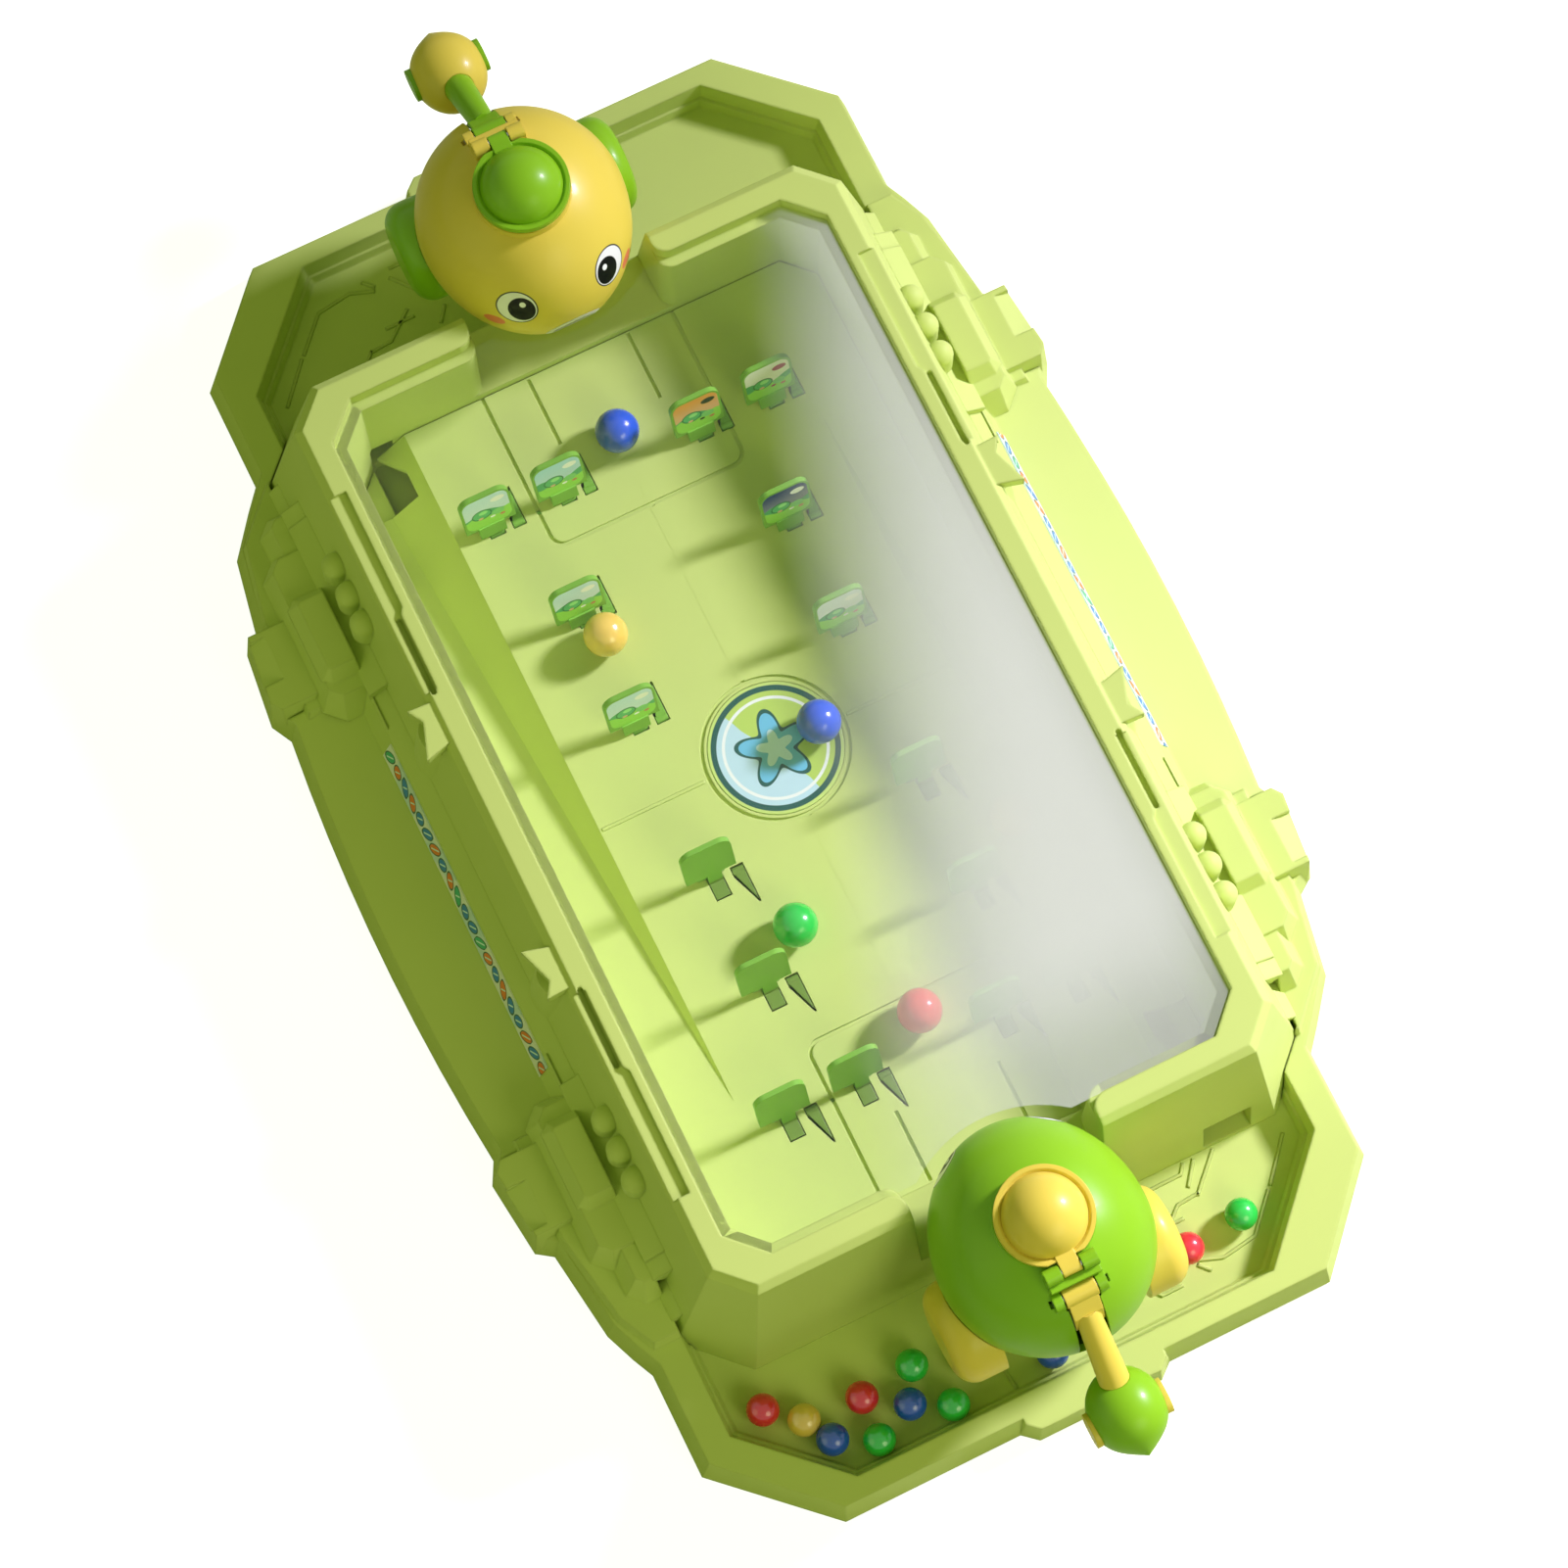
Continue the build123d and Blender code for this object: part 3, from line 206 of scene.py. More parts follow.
class PinballColours(bpy.types.PropertyGroup):
    """Colours of the plastics and prints, linear."""
    lime: colour("Lime", "Plastic of the tray and the play housing", (0.570, 0.675, 0.200))
    deck: colour("Deck", "Plastic of the playfield deck", (0.590, 0.700, 0.225))
    yellow: colour("Yellow", "Yellow plastic of the launchers", (0.760, 0.600, 0.085))
    green: colour("Green", "Green plastic of the launchers", (0.235, 0.500, 0.014))
    target: colour("Target", "Plastic of the targets", (0.215, 0.475, 0.060))
    red_ball: colour("Red ball", "Plastic of the red balls", (0.800, 0.028, 0.050))
    blue_ball: colour("Blue ball", "Plastic of the blue balls", (0.018, 0.100, 0.720))
    green_ball: colour("Green ball", "Plastic of the green balls", (0.025, 0.560, 0.070))
    yellow_ball: colour("Yellow ball", "Plastic of the yellow balls", (0.860, 0.590, 0.115))
    ink: colour("Ink", "Dark ink of the prints", (0.012, 0.095, 0.075))
    sky: colour("Sky", "Pale blue of the prints", (0.520, 0.740, 0.830))
    blush: colour("Blush", "Cheeks of the launchers", (0.780, 0.200, 0.100))


class PinballSizes(bpy.types.PropertyGroup):
    """Sizes of the prints and of the edges."""
    edge: length("Edge", "Rounding of the moulded edges", 1.2 * MM)
    eye_width: length("Eye width", "Half width of an eye", 6.2 * MM)
    eye_height: length("Eye height", "Half height of an eye", 6.6 * MM)
    cheek: length("Cheek", "Half width of a cheek", 3.4 * MM)
    camera_distance: length("Camera distance", "From the target to the camera", 1.51107)


def colours():
    return bpy.context.scene.pinball_colours


def sizes():
    return bpy.context.scene.pinball_sizes


# Plastics
MOTTLE = 0.05


def moulded(name, tone, roughness, grain=0.02 * MM, coat=0.0, rounding=None, specular=0.12):
    """Moulded plastic: slight mottling, a fine grain and rounded edges."""
    finish = Finish(name)
    cloud = finish.noise(22.0, 3.0)
    shade = finish.tint(tuple(tone), 1.0 - MOTTLE / 2 + cloud * MOTTLE)
    fine = finish.noise(2600.0, 2.0)
    normal = finish.rounded(rounding) if rounding else None
    rough = roughness - 0.04 + finish.noise(60.0, 2.0) * 0.08
    finish.surface(Base_Color=shade, Roughness=rough, Normal=finish.bump(fine, grain, normal, 0.35),
                   Coat_Weight=coat, Coat_Roughness=0.12, IOR=1.49, Specular_IOR_Level=specular)
    return finish.material


def ball_plastic(name, tone):
    """Glossy ball with a little depth and a slightly uneven skin."""
    finish = Finish(name)
    shade = finish.tint(tuple(tone), 0.95 + finish.noise(140.0, 2.0) * 0.1)
    finish.surface(Base_Color=shade, Roughness=0.24, IOR=1.5, Coat_Weight=0.5, Coat_Roughness=0.06,
                   Normal=finish.bump(finish.noise(900.0, 1.0), 0.01 * MM, None, 0.2),
                   Subsurface_Weight=0.08, Subsurface_Scale=1.5 * MM, Subsurface_Radius=(1.0, 0.8, 0.6))
    return finish.material


EYE_SIDE, EYE_FRONT = 0.438, 0.860
EYE_RISE = {"near": 0.085, "far": 0.311}
EYE_LINE = 0.45 * MM
LINE_COLOUR, EYE_WHITE = (0.035, 0.035, 0.045), (0.86, 0.87, 0.88)
PUPIL, GLINT = (0.004, 0.004, 0.006), (0.9, 0.92, 0.95)


def launcher_skin(name, tone, end):
    """Glossy body plastic with a pair of printed eyes and cheeks. The near launcher looks towards +Y."""
    look = 1.0 if end == "near" else -1.0
    c, s = colours(), sizes()
    finish = Finish(name)
    centre = Vector((0.0, BODY_CENTRE_Y * look, BODY_CENTRE_Z))
    point = finish.vector("SUBTRACT", finish.place, tuple(centre))
    skin = finish.tint(tuple(tone), 0.975 + finish.noise(22.0, 3.0) * 0.05)
    soft = 0.12 * MM
    for side in (-1.0, 1.0):
        out = Vector((EYE_SIDE * side, EYE_FRONT * look, EYE_RISE[end])).normalized()
        across = out.cross(Vector((0.0, 0.0, 1.0))).normalized()
        up = across.cross(out).normalized()
        front = finish.dot(point, out).above(20 * MM, 1 * MM)
        u = finish.dot(point, across)
        v = finish.dot(point, up)

        def oval(du, dv, half_u, half_v):
            """Mask of an ellipse whose middle lies du and dv millimetres from the middle of the eye."""
            reach = (((u - du * MM) / half_u) ** 2.0 + ((v - dv * MM) / half_v) ** 2.0).root()
            return reach.below(1.0, soft / half_v) * front

        away = 1 if across.x * side > 0 else -1
        cheek_u, pupil_u = 7.4 * away, -1.5 * away
        skin = finish.mix(oval(cheek_u, -8.6, s.cheek, s.cheek * 0.75), skin, tuple(c.blush))
        skin = finish.mix(oval(0, 0, s.eye_width + EYE_LINE, s.eye_height + EYE_LINE), skin, LINE_COLOUR)
        skin = finish.mix(oval(0, 0, s.eye_width, s.eye_height), skin, EYE_WHITE)
        skin = finish.mix(oval(pupil_u, -0.3, s.eye_width * 0.70, s.eye_height * 0.78), skin, PUPIL)
        skin = finish.mix(oval(pupil_u * 1.2, 2.0, 1.0 * MM, 1.1 * MM), skin, GLINT)
    fine = finish.noise(2600.0, 1.0)
    finish.surface(Base_Color=skin, Roughness=0.36, IOR=1.49, Specular_IOR_Level=0.2,
                   Coat_Weight=0.08, Coat_Roughness=0.12,
                   Normal=finish.bump(fine, 0.01 * MM, finish.rounded(0.5 * MM), 0.3))
    return finish.material


def target_plastic(roughness, rounding):
    """Green plastic with painted shade: darker and duller at the foot and the levers, which lie in the deck's
    slots.
    """
    finish = Finish("target_moulded")
    # Painted shade: below the deck's level the green turns dark, standing in for the shade inside the slots.
    painted_slot_shade = finish.axis("Z").below(TARGET_ROOT, 0.4 * MM)
    tone = finish.mix(painted_slot_shade, tuple(colours().target), (0.175, 0.290, 0.050))
    finish.surface(Base_Color=finish.tint(tone, 0.96 + finish.noise(40.0, 2.0) * 0.08),
                   Roughness=roughness, IOR=1.49, Coat_Weight=0.1, Coat_Roughness=0.12,
                   Specular_IOR_Level=0.25,
                   Normal=finish.bump(finish.noise(2600.0, 2.0), 0.01 * MM, finish.rounded(rounding), 0.35))
    return finish.material


HILLS, MEADOW = (0.10, 0.44, 0.18), (0.34, 0.74, 0.10)
BUSH_EDGE, BUSH = (0.03, 0.17, 0.07), (0.12, 0.52, 0.20)
BUSH_TOP, SHRUB = (0.36, 0.80, 0.30), (0.24, 0.64, 0.20)
SAND, CLAY = (0.80, 0.50, 0.30), (0.62, 0.20, 0.12)
PICTURE_HALF, PICTURE_MIDDLE, PICTURE_CORNER = 7.7 * MM, 15.3 * MM, 3.2 * MM


def target_picture(name, sky, accent):
    """Target plastic with a landscape printed on the front of its plate."""
    finish = Finish(f"{name}_print")
    low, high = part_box(name)
    axle = ((low[0] + high[0]) / 2 - 0.15 * MM, low[1] + 1.4 * MM, high[2] - TARGET_RISE)
    point = finish.vector("SUBTRACT", finish.place, axle)
    u = finish.axis("X", point)
    v = finish.dot(point, (0.0, math.sin(LEAN), math.cos(LEAN)))
    front = finish.dot(point, (0.0, -math.cos(LEAN), math.sin(LEAN))).above(0.7 * MM, 0.1 * MM)
    soft = 0.14 * MM

    def disc(du, dv, half_u, half_v):
        """Mask of an ellipse, with its middle and half sizes in millimetres."""
        reach = (((u - du * MM) / (half_u * MM)) ** 2.0 + ((v - dv * MM) / (half_v * MM)) ** 2.0).root()
        return reach.below(1.0, 0.06)

    phase = axle[0] * 90.0
    picture = finish.mix((v - 19 * MM).above(0.0, 4 * MM), tuple(0.75 * x + 0.2 for x in sky), sky)
    picture = finish.mix(disc(4.3, 19.6, 2.4, 1.3), picture, accent)
    skyline = v - 15.0 * MM - (u * 420.0 + phase).wave() * 1.3 * MM
    picture = finish.mix(skyline.below(0.0, soft), picture, HILLS)
    slope = v - 13.2 * MM - (u * 560.0 + phase * 2).wave() * 0.9 * MM
    picture = finish.mix(slope.below(0.0, soft), picture, MEADOW)
    for du, dv, half_u, half_v, hue in ((-2.0, 14.3, 3.4, 2.5, BUSH_EDGE), (-2.0, 14.3, 3.0, 2.1, BUSH),
                                        (-1.4, 15.0, 1.5, 0.9, BUSH_TOP), (3.4, 12.8, 2.2, 1.5, SHRUB),
                                        (-2.6, 12.4, 0.9, 0.5, SAND), (1.3, 11.2, 0.9, 0.5, accent),
                                        (4.6, 10.6, 0.9, 0.5, CLAY)):
        picture = finish.mix(disc(du, dv, half_u, half_v), picture, hue)
    side = (abs(u) - PICTURE_HALF + PICTURE_CORNER).maximum(0.0)
    rise = (abs(v - PICTURE_MIDDLE) - PICTURE_HALF + PICTURE_CORNER).maximum(0.0)
    inside = ((side * side + rise * rise).root() - PICTURE_CORNER).below(0.0, soft) * front
    plastic = finish.tint(tuple(colours().target), 0.95 + finish.noise(22.0, 3.0) * 0.1)
    finish.surface(Base_Color=finish.mix(inside, plastic, picture), Roughness=0.36, IOR=1.49,
                   Specular_IOR_Level=0.3,
                   Normal=finish.bump(inside, 0.12 * MM, finish.rounded(0.4 * MM), 0.5))
    return finish.material


def clear_sheet():
    """Clear plastic sheet with a painted reflection. The mirror patch grows towards the +X side and the near
    end, and fades at both ends.
    """
    finish = Finish("clear_sheet")
    across, along = finish.axis("X"), finish.axis("Y")
    # Painted reflection: this mask makes the sheet a mirror of the white background towards +X and the near
    # end, standing in for the reflection of a bright lamp.
    slant = across - along * 0.345 + (finish.noise(14.0, 2.0) - 0.5) * 6 * MM
    painted_reflection = (slant.above(45 * MM, 42 * MM) * 0.88).maximum(across.above(78 * MM, 20 * MM) * 0.84)
    painted_reflection = painted_reflection * (1 - along.below(-120 * MM, 22 * MM) * 0.5) * (1 - along.above(120 * MM, 30 * MM) * 0.3)
    mirror_film = {"Base Color": (0.94, 0.965, 0.88, 1.0), "Roughness": 0.20, "Metallic": 1.0}
    seen = finish.node("ShaderNodeBsdfPrincipled", inputs=mirror_film)
    through = finish.node("ShaderNodeBsdfTransparent", inputs=[(0.985, 0.995, 0.985, 1.0)])
    finish.finish_with(finish.node("ShaderNodeMixShader", inputs=[painted_reflection.maximum(0.012), through, seen]))
    return finish.material


STAR_BLUE, STAR_HEART = (0.16, 0.52, 0.74), (0.62, 0.86, 0.93)
PALE_BAND, FIELD_GREEN = (0.85, 0.9, 0.88), (0.48, 0.66, 0.13)
STAR_RADIUS, STAR_EDGE, STAR_REACH = 8.6 * MM, 10.0 * MM, 3.1 * MM


def medallion_print():
    """Printed disc: a dark ring, a sky half and a meadow half, and a plain star between them."""
    c = colours()
    finish = Finish("medallion_print")
    x, y = finish.axis("X"), finish.axis("Y")
    radius = (x * x + y * y).root()
    soft = 0.10 * MM
    slope = (x * 0.9 + y * 0.45) + (finish.noise(70.0, 1.0) - 0.5) * 6 * MM
    picture = finish.mix(slope.above(-2 * MM, soft), tuple(c.sky), FIELD_GREEN)
    angle = finish.node("ShaderNodeMath", {"operation": "ARCTAN2"}, [y, x])
    lobes = (angle * 5.0 + 0.6).wave()
    star = (radius - (STAR_RADIUS + lobes * STAR_REACH)).below(0.0, soft)
    edge = (radius - (STAR_EDGE + lobes * STAR_REACH)).below(0.0, soft)
    heart = (radius - (4.6 * MM + lobes * 1.6 * MM)).below(0.0, soft)
    picture = finish.mix(edge, picture, tuple(c.ink))
    picture = finish.mix(star, picture, STAR_BLUE)
    picture = finish.mix(heart, picture, STAR_HEART)
    picture = finish.mix(abs(radius - 16.4 * MM).below(0.5 * MM, soft), picture, PALE_BAND)
    picture = finish.mix(radius.above(18.6 * MM, soft), picture, tuple(c.ink))
    picture = finish.mix(radius.above(20.4 * MM, soft), picture, (0.56, 0.72, 0.20))
    finish.surface(Base_Color=picture, Roughness=0.35, Coat_Weight=0.2, Coat_Roughness=0.2,
                   Normal=finish.bump(finish.noise(1500.0, 1.0), 0.01 * MM, None, 0.3))
    return finish.material


TOKEN_PITCH, TOKEN_START = 5.5 * MM, -200 * MM
TOKEN_BLUE, TOKEN_GREEN, TOKEN_ORANGE = (0.03, 0.22, 0.62), (0.05, 0.46, 0.26), (0.84, 0.20, 0.04)


def strip_print():
    """Printed strip for the long sides: slanted oval tokens with a pale wedge, on a white ground."""
    finish = Finish("strip_print")
    along = finish.axis("Y")
    height = finish.axis("Z")
    soft = 0.12 * MM
    middle = (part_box("label_strips")[0][2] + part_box("label_strips")[1][2]) / 2
    v = height - middle
    cell = (along - TOKEN_START).repeat(TOKEN_PITCH) - TOKEN_PITCH / 2
    number = (along - TOKEN_START - cell) / TOKEN_PITCH
    picture = finish.mix(finish.noise(45.0, 1.0).above(0.52, 0.02), (0.82, 0.84, 0.82), (0.60, 0.74, 0.80))
    reach = (cell * cell + v * v * 0.8 + cell * v * (number * 5.3).wave() * 1.1).root()
    picture = finish.mix(reach.below(2.45 * MM, soft), picture, tuple(colours().ink))
    paint = finish.mix((number * 2.1).wave().above(0.1, 0.01), TOKEN_BLUE, TOKEN_GREEN)
    paint = finish.mix((number * 3.7 + 1.0).wave().above(0.45, 0.01), paint, TOKEN_ORANGE)
    picture = finish.mix(reach.below(2.0 * MM, soft), picture, paint)
    wedge = (abs(cell + v * 0.8)).below(0.35 * MM, soft) * reach.below(1.6 * MM, soft)
    picture = finish.mix(wedge, picture, (0.72, 0.90, 0.92))
    finish.surface(Base_Color=picture, Roughness=0.4,
                   Normal=finish.bump(finish.noise(1500.0, 1.0), 0.01 * MM, None, 0.3))
    return finish.material


def rubber():
    finish = Finish("rubber")
    grain = finish.noise(800.0, 3.0)
    finish.surface(Base_Color=finish.tint((0.03, 0.03, 0.032), 0.8 + grain * 0.4), Roughness=0.85,
                   Normal=finish.bump(grain, 0.05 * MM, None, 0.5))
    return finish.material


def steel():
    finish = Finish("steel")
    drawn = finish.noise(1.0, 2.0, finish.vector("MULTIPLY", finish.place, (150.0, 2500.0, 2500.0)))
    finish.surface(Base_Color=finish.tint((0.56, 0.56, 0.58), 0.9 + drawn * 0.2), Metallic=1.0,
                   Roughness=0.28 + drawn * 0.12)
    return finish.material


# Dress the nodes of the frame
def dress(names, material):
    """Give the nodes one material."""
    for name in names:
        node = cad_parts[name]
        node.data.materials.clear()
        node.data.materials.append(material)


class PINBALL_OT_casing(bpy.types.Operator):
    """Dress the tray, the housing, the deck and their small parts"""
    bl_idname = "pinball.casing"
    bl_label = "Casing"

    def execute(self, context):
        c, s = colours(), sizes()
        lime = moulded("lime_moulded", c.lime, 0.46, rounding=s.edge)
        dress(["base_tray", "play_housing", "bottom_cover"], lime)
        dress([f"{end}_{part}" for end in ("near", "far") for part in ("pedestal", "turntable")], lime)
        dress(["playfield_deck"], moulded("deck_moulded", c.deck, 0.42, rounding=0.4 * MM))
        dress(["clear_cover"], clear_sheet())
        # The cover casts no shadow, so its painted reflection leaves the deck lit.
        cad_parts["clear_cover"].visible_shadow = False
        dress(["medallion"], medallion_print())
        dress(["label_strips"], strip_print())
        dress(["rubber_feet"], rubber())
        metal = steel()
        dress(["cover_screws"], metal)
        pins = ("lid_pin", "tail_pin", "return_spring")
        dress([f"{end}_{part}" for end in ("near", "far") for part in pins], metal)
        return {"FINISHED"}


# Lines of the near tray's pattern, in millimetres. The far tray has them half a turn round.
TRAY_LINES = (((41.3, -201.7), (32.2, -191.0)), ((40.4, -189.3), (49.7, -181.5), (57.6, -180.8)),
              ((28.7, -185.5), (32.7, -180.0)),
              ((77.3, -189.4), (66.9, -200.5), (55.1, -202.2), (47.1, -199.3)),
              ((89.5, -175.6), (78.2, -188.7)), ((43.0, -173.5), (54.9, -173.4), (57.3, -170.4)),
              ((60.8, -170.6), (55.1, -178.1)), ((67.6, -170.6), (56.6, -181.5)),
              ((46.6, -200.5), (50.0, -204.1)),
              ((29.3, -200.1), (32.6, -204.4), (40.0, -204.4)), ((39.2, -186.1), (49.7, -186.0)),
              ((-21.9, -199.9), (-20.6, -210.2)))


def finished_piece(name, mesh):
    """Object made of the mesh, in the scene."""
    data = bpy.data.meshes.new(name)
    mesh.to_mesh(data)
    mesh.free()
    piece = bpy.data.objects.new(name, data)
    bpy.context.scene.collection.objects.link(piece)
    return piece


def raised_lines(name, lines, width, height, floor):
    """Low ribs with sloped sides and ends along open lines, given in millimetres."""
    mesh = bmesh.new()
    for line in lines:
        points = [Vector((x * MM, y * MM)) for x, y in line]
        rings = []
        for index, point in enumerate(points):
            before = (point - points[index - 1]).normalized() if index else None
            after = (points[index + 1] - point).normalized() if index + 1 < len(points) else None
            run = ((before or after) + (after or before)).normalized()
            stretch = 1.0 / max(0.5, run.dot(before or after))
            side = Vector((-run.y, run.x)) * stretch
            draw_in = run * (0.0 if before and after else 0.25 * width) * (-1 if before else 1)
            foot, crest = width / 2, width / 3.2
            places = ((point - side * foot, floor), (point - side * crest + draw_in, floor + height),
                      (point + side * crest + draw_in, floor + height), (point + side * foot, floor))
            rings.append([mesh.verts.new((place.x, place.y, z)) for place, z in places])
        for low, high in zip(rings, rings[1:]):
            for k in range(4):
                mesh.faces.new((low[k], low[(k + 1) % 4], high[(k + 1) % 4], high[k]))
        mesh.faces.new(rings[0][::-1])
        mesh.faces.new(rings[-1])
    bmesh.ops.recalc_face_normals(mesh, faces=mesh.faces)
    return finished_piece(name, mesh)


class PINBALL_OT_tray_pattern(bpy.types.Operator):
    """Raise the pattern on the floors of both ball trays"""
    bl_idname = "pinball.tray_pattern"
    bl_label = "Tray pattern"

    def execute(self, context):
        both = [[(turn * x, turn * y) for x, y in line] for turn in (1, -1) for line in TRAY_LINES]
        piece = raised_lines("tray_pattern", both, 1.3 * MM, 0.5 * MM, TRAY_FLOOR)
        piece.data.materials.append(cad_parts["base_tray"].data.materials[0])
        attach(piece, "root")
        return {"FINISHED"}


def bars(name, sections):
    """Straight bars along Y. A section is a closed profile of x and z, a start and an end, in millimetres."""
    mesh = bmesh.new()
    for profile, start, end in sections:
        rings = [[mesh.verts.new((x * MM, y * MM, z * MM)) for x, z in profile] for y in (start, end)]
        for k in range(len(profile)):
            following = (k + 1) % len(profile)
            mesh.faces.new((rings[0][k], rings[0][following], rings[1][following], rings[1][k]))
        mesh.faces.new(rings[0])
        mesh.faces.new(rings[1])
    bmesh.ops.recalc_face_normals(mesh, faces=mesh.faces)
    return finished_piece(name, mesh)


# Middle grooves of the deck in millimetres: where each part starts and ends, on both sides of the medallion
GROOVE_PARTS = ((24.2, 88.0), (90.0, 98.2))
STRIP_HALF, STRIP_DEPTH, FLANGE_HALF, FLANGE_HEIGHT = 0.5, 0.65, 1.1, 0.04


def lane_sections():
    """Flush strips in the middle grooves of the deck, with a thin flange over their edges."""
    level = DECK_LEVEL / MM
    half = ((STRIP_HALF, -STRIP_DEPTH), (STRIP_HALF, 0.0), (FLANGE_HALF, 0.0), (FLANGE_HALF, FLANGE_HEIGHT))
    shape = ((-STRIP_HALF, -STRIP_DEPTH), *half, *[(-x, z) for x, z in reversed(half[1:])])
    profile = [(x, level + z) for x, z in shape]
    return [(profile, side * start, side * end) for start, end in GROOVE_PARTS for side in (-1, 1)]


# Height of the tray's ledge beside the housing, and the stretch along the wall, in millimetres
LEDGES = ((30.0, -68.7, 68.7), (34.0, 68.5, 129.0), (34.0, -129.0, -68.5), (33.0, 128.5, 135.0),
          (33.0, -135.0, -128.5), (20.5, 134.5, 147.0), (20.5, -147.0, -134.5))


def wall_sections():
    """Sloped strips between the walls of the housing and the tray's ledge, beside skirts and armour decks."""
    sections = []
    for ledge, start, end in LEDGES:
        top, foot = ledge + 5.0, ledge - 8.0
        inner_top, inner_foot = [WALL_FOOT_X - (z - WALL_FOOT_Z) * WALL_DRAFT - 0.3 for z in (top, foot)]
        shape = ((inner_top, top), (107.5, ledge + 0.03), (107.3, ledge - 1.5), (106.6, ledge - 2.5),
                 (inner_foot, foot))
        for side in (-1, 1):
            sections.append(([(side * x, z) for x, z in shape], start, end))
    return sections


class PINBALL_OT_deck_lines(bpy.types.Operator):
    """Close the middle grooves of the deck and raise the line across it"""
    bl_idname = "pinball.deck_lines"
    bl_label = "Deck lines"

    def execute(self, context):
        strips = bars("lane_strips", lane_sections())
        strips.data.materials.append(moulded("strip_moulded", colours().deck, 0.42))
        lines = [((side * 24.6, 0.0), (side * 60.4, 0.0)) for side in (1, -1)]
        cross = raised_lines("cross_line", lines, 1.3 * MM, 0.25 * MM, DECK_LEVEL)
        cross.data.materials.append(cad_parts["playfield_deck"].data.materials[0])
        for piece in (strips, cross):
            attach(piece, "root")
        return {"FINISHED"}


class PINBALL_OT_wall_strips(bpy.types.Operator):
    """Close the trench between the housing and the tray"""
    bl_idname = "pinball.wall_strips"
    bl_label = "Wall strips"

    def execute(self, context):
        piece = bars("wall_strips", wall_sections())
        piece.data.materials.append(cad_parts["base_tray"].data.materials[0])
        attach(piece, "root")
        return {"FINISHED"}


class PINBALL_OT_launchers(bpy.types.Operator):
    """Dress both launchers"""
    bl_idname = "pinball.launchers"
    bl_label = "Launchers"

    def execute(self, context):
        c = colours()
        white = moulded("inner_white", (0.78, 0.78, 0.74), 0.5)
        gloss = {hue: moulded(f"{hue}_gloss", getattr(c, hue), 0.34, 0.008 * MM, 0.08, 0.6 * MM, specular=0.2)
                 for hue in ("yellow", "green")}
        for end, body, trim in (("near", "green", "yellow"), ("far", "yellow", "green")):
            dress([f"{end}_shell"], launcher_skin(f"{end}_skin", getattr(c, body), end))
            dress([f"{end}_{part}" for part in ("lid", "haunches", "tail_lever", "bulb_ovals")], gloss[trim])
            dress([f"{end}_tail_bulb"], gloss[body])
            dress([f"{end}_{part}" for part in ("barrel", "striker")], white)
        return {"FINISHED"}


# Number of a far target, the colour of its sky and of its cloud
PALE, WHITE = (0.62, 0.82, 0.95), (0.95, 0.97, 0.97)
TARGET_SKIES = ((1, PALE, WHITE), (2, (0.78, 0.86, 0.92), WHITE), (3, PALE, WHITE),
                (4, (0.03, 0.06, 0.20), WHITE), (5, PALE, WHITE), (6, (0.45, 0.74, 0.88), WHITE),
                (7, (0.86, 0.38, 0.07), (0.03, 0.06, 0.02)),
                (8, (0.88, 0.90, 0.88), (0.40, 0.03, 0.06)))


class PINBALL_OT_targets(bpy.types.Operator):
    """Dress the targets"""
    bl_idname = "pinball.targets"
    bl_label = "Targets"

    def execute(self, context):
        plastic = target_plastic(0.36, 0.4 * MM)
        dress([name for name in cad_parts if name.startswith("target_near")], plastic)
        for number, sky, accent in TARGET_SKIES:
            name = f"target_far_{number}"
            dress([name], target_picture(name, sky, accent))
        return {"FINISHED"}


class PINBALL_OT_balls(bpy.types.Operator):
    """Dress the balls"""
    bl_idname = "pinball.balls"
    bl_label = "Balls"

    def execute(self, context):
        for hue in ("red", "blue", "green", "yellow"):
            dress([f"{hue}_balls"], ball_plastic(f"{hue}_ball_plastic", getattr(colours(), f"{hue}_ball")))
        return {"FINISHED"}


# Stage. The camera is the one that was fitted to the photograph.
CAMERA_AZIMUTH = math.radians(-26.69)
CAMERA_ELEVATION = math.radians(76.20)
CAMERA_ROLL = math.radians(0.55)
CAMERA_TARGET = Vector((-0.08 * MM, -6.10 * MM, 0.0))
PHOTO_WIDTH = 1601
FOCAL_PIXELS = 4858.0
SENSOR = 36.0


def place_camera(distance):
    """Camera at the photograph's viewing angle."""
    az, el = CAMERA_AZIMUTH, CAMERA_ELEVATION
    back = Vector((math.sin(az) * math.cos(el), -math.cos(az) * math.cos(el), math.sin(el)))
    flat_right = Vector((math.cos(az), math.sin(az), 0.0))
    flat_up = back.cross(flat_right)
    right = flat_right * math.cos(CAMERA_ROLL) + flat_up * math.sin(CAMERA_ROLL)
    up = flat_up * math.cos(CAMERA_ROLL) - flat_right * math.sin(CAMERA_ROLL)
    data = bpy.data.cameras.new("photo_camera")
    data.sensor_fit = "HORIZONTAL"
    data.sensor_width = SENSOR
    data.lens = FOCAL_PIXELS / PHOTO_WIDTH * SENSOR
    data.clip_end = 20.0
    camera = bpy.data.objects.new("photo_camera", data)
    turn = Matrix((right, up, back)).transposed().to_4x4()
    camera.matrix_world = Matrix.Translation(CAMERA_TARGET + back * distance) @ turn
    bpy.context.scene.collection.objects.link(camera)
    bpy.context.scene.camera = camera


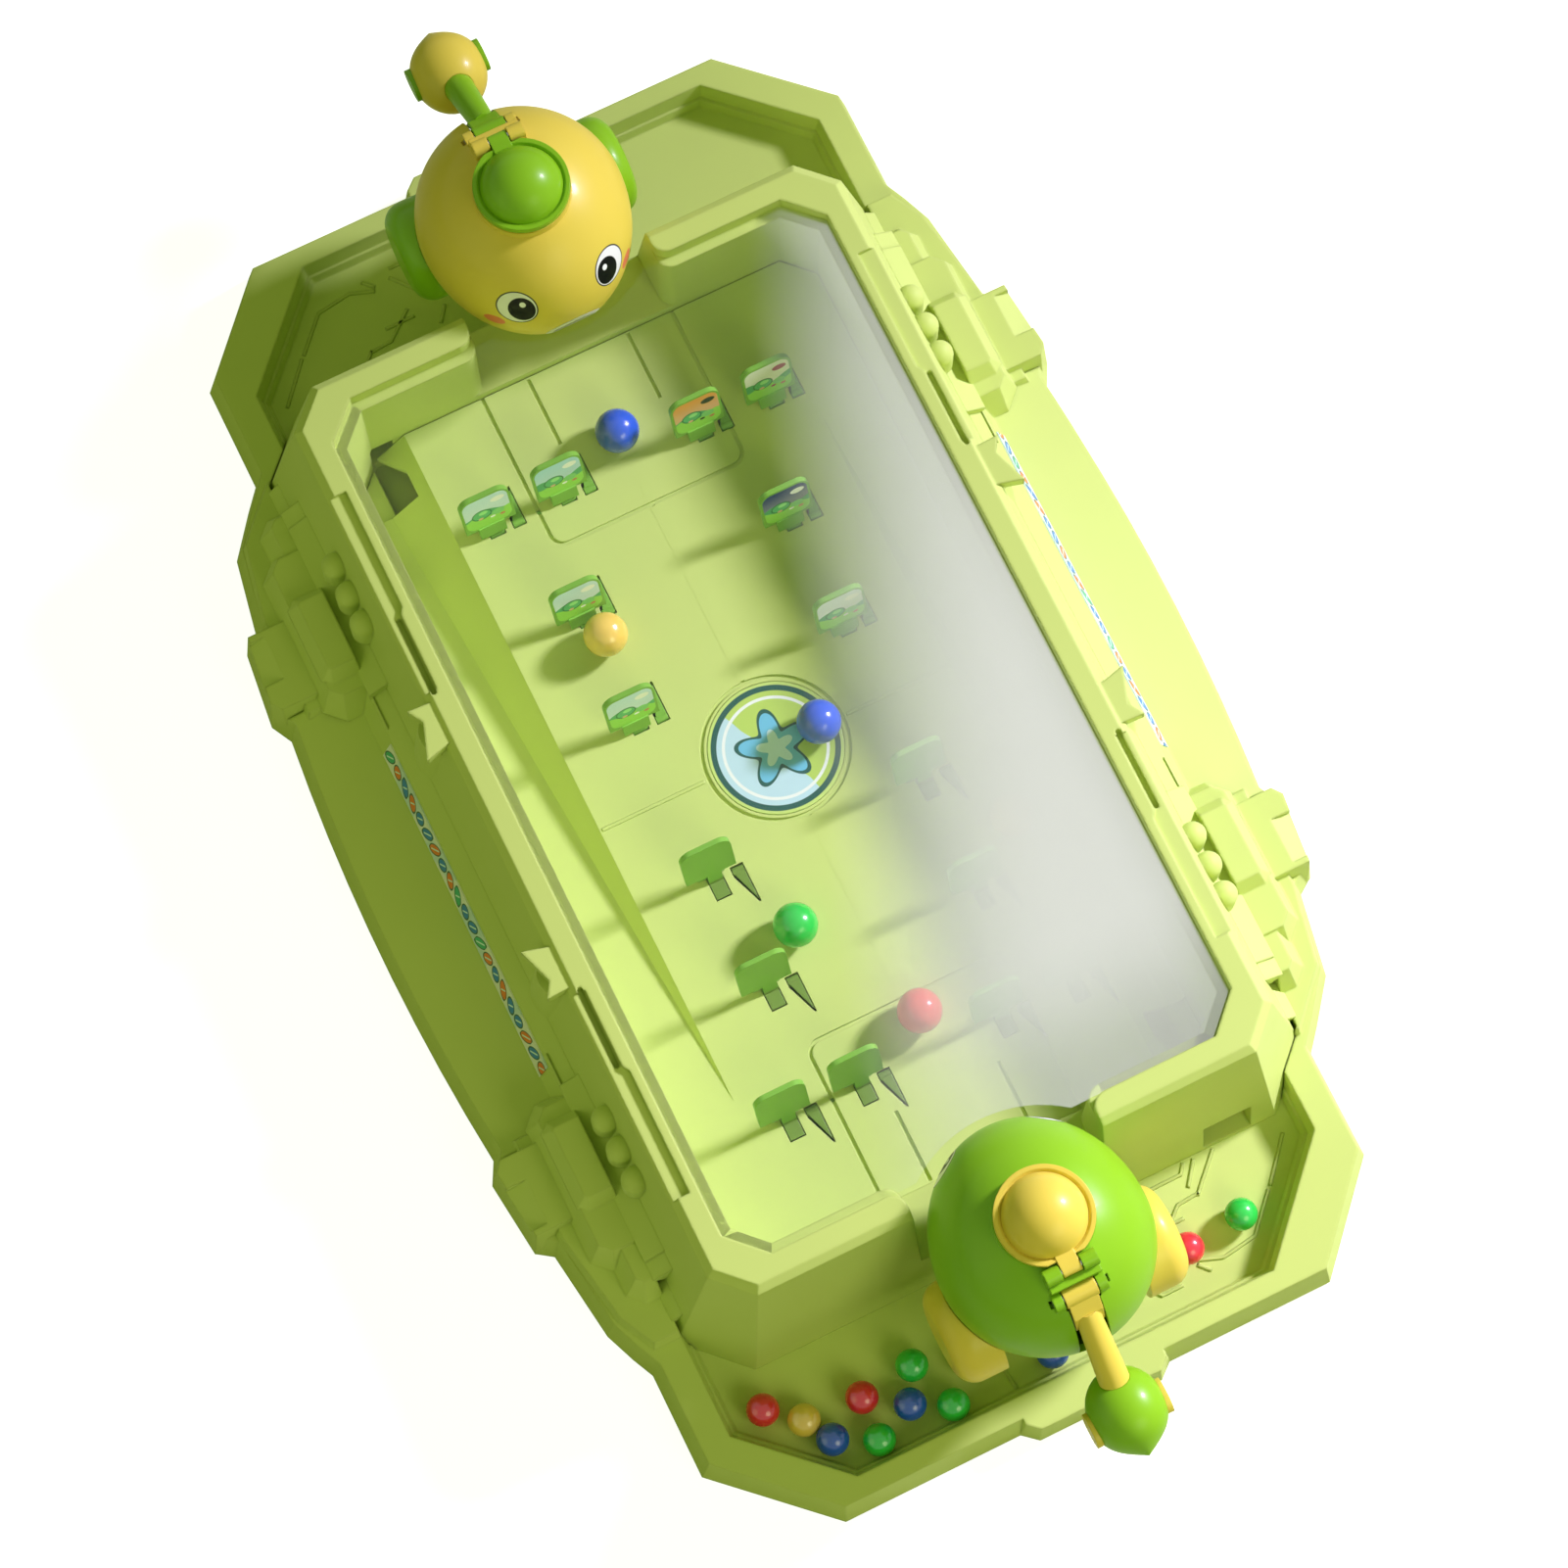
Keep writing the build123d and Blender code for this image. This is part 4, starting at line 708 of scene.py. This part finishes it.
# Name, power in watts, place, aim, size, spread in degrees and colour of each lamp
LAMPS = (("key", 4.0, (1.60, 0.12, 1.07), (0.0, -0.22, 0.0), 0.30, 50.0, (1.04, 0.96, 1.26)),
         ("near_soft", 1.3, (0.25, -0.95, 0.70), (0.0, -0.20, 0.0), 0.60, 120.0, (1.0, 0.98, 0.62)),
         ("left_soft", 0.5, (-1.00, -0.05, 0.55), (0.0, 0.0, 0.0), 0.80, 120.0, (0.90, 1.0, 0.42)))
FILL_COLOUR, FILL_STRENGTH = (0.80, 1.0, 0.24, 1.0), 0.26


def lamp(name, power, place, aim, size, spread, hue):
    """Round soft lamp that looks at a point of the game, with its spread in degrees."""
    data = bpy.data.lights.new(name, "AREA")
    data.energy = power
    data.color = hue
    data.shape = "DISK"
    data.size = size
    data.spread = math.radians(spread)
    lamp_object = bpy.data.objects.new(name, data)
    lamp_object.location = place
    lamp_object.rotation_euler = (Vector(place) - Vector(aim)).to_track_quat("Z", "Y").to_euler()
    bpy.context.scene.collection.objects.link(lamp_object)


def white_background():
    """World that lights softly, and is white where the camera, a reflection or a clear sheet sees it."""
    world = bpy.data.worlds.new("studio")
    bpy.context.scene.world = world
    world.use_nodes = True
    nodes, links = world.node_tree.nodes, world.node_tree.links
    nodes.clear()
    path = nodes.new("ShaderNodeLightPath")
    seen = path.outputs["Is Camera Ray"]
    for name in ("Is Glossy Ray", "Is Transmission Ray"):
        either = nodes.new("ShaderNodeMath")
        either.operation = "MAXIMUM"
        links.new(seen, either.inputs[0])
        links.new(path.outputs[name], either.inputs[1])
        seen = either.outputs[0]
    fill = nodes.new("ShaderNodeBackground")
    fill.inputs["Color"].default_value = FILL_COLOUR
    fill.inputs["Strength"].default_value = FILL_STRENGTH
    white = nodes.new("ShaderNodeBackground")
    white.inputs["Strength"].default_value = 1.0
    mix = nodes.new("ShaderNodeMixShader")
    output = nodes.new("ShaderNodeOutputWorld")
    links.new(seen, mix.inputs[0])
    links.new(fill.outputs[0], mix.inputs[1])
    links.new(white.outputs[0], mix.inputs[2])
    links.new(mix.outputs[0], output.inputs["Surface"])


def pale_floor():
    """White floor that keeps a faint shadow."""
    mesh = bpy.data.meshes.new("floor")
    half = 4.0
    corners = [(-half, -half, 0), (half, -half, 0), (half, half, 0), (-half, half, 0)]
    mesh.from_pydata(corners, [], [(0, 1, 2, 3)])
    floor = bpy.data.objects.new("floor", mesh)
    bpy.context.scene.collection.objects.link(floor)
    finish = Finish("floor_white")
    path = finish.node("ShaderNodeLightPath", out="Is Camera Ray")
    matt = finish.node("ShaderNodeBsdfDiffuse", inputs={"Color": (0.52, 0.56, 0.40, 1.0)})
    glow = finish.node("ShaderNodeEmission", inputs={"Color": (1.0, 1.0, 1.0, 1.0), "Strength": 0.90})
    lit = finish.node("ShaderNodeAddShader", inputs=[matt, glow])
    finish.finish_with(finish.node("ShaderNodeMixShader", inputs=[path, matt, lit]))
    mesh.materials.append(finish.material)


class PINBALL_OT_stage(bpy.types.Operator):
    """Set the camera, the lamps, the floor and the background"""
    bl_idname = "pinball.stage"
    bl_label = "Stage"

    def execute(self, context):
        context.scene.view_settings.view_transform = "Standard"
        place_camera(sizes().camera_distance)
        white_background()
        pale_floor()
        for lamp_settings in LAMPS:
            lamp(*lamp_settings)
        return {"FINISHED"}


class PINBALL_PT_panel(bpy.types.Panel):
    """Lists the steps and the settings"""
    bl_label = "Pinball"
    bl_idname = "PINBALL_PT_panel"
    bl_space_type = "VIEW_3D"
    bl_region_type = "UI"
    bl_category = "Pinball"

    def draw(self, context):
        for step in STEPS:
            self.layout.operator(step.bl_idname)
        for group in (context.scene.pinball_colours, context.scene.pinball_sizes):
            for key in type(group).__annotations__:
                self.layout.prop(group, key)


STEPS = (PINBALL_OT_stage, PINBALL_OT_casing, PINBALL_OT_tray_pattern, PINBALL_OT_deck_lines,
         PINBALL_OT_wall_strips, PINBALL_OT_launchers, PINBALL_OT_targets, PINBALL_OT_balls)
CLASSES = (PinballColours, PinballSizes, *STEPS, PINBALL_PT_panel)


def register():
    for item in CLASSES:
        bpy.utils.register_class(item)
    bpy.types.Scene.pinball_colours = bpy.props.PointerProperty(type=PinballColours)
    bpy.types.Scene.pinball_sizes = bpy.props.PointerProperty(type=PinballSizes)


def unregister():
    del bpy.types.Scene.pinball_sizes
    del bpy.types.Scene.pinball_colours
    for item in reversed(CLASSES):
        bpy.utils.unregister_class(item)


def main():
    """Make the scene."""
    register()
    bpy.ops.pinball.stage()
    bpy.ops.pinball.casing()
    bpy.ops.pinball.tray_pattern()
    bpy.ops.pinball.deck_lines()
    bpy.ops.pinball.wall_strips()
    bpy.ops.pinball.launchers()
    bpy.ops.pinball.targets()
    bpy.ops.pinball.balls()


if __name__ == "__main__":
    main()
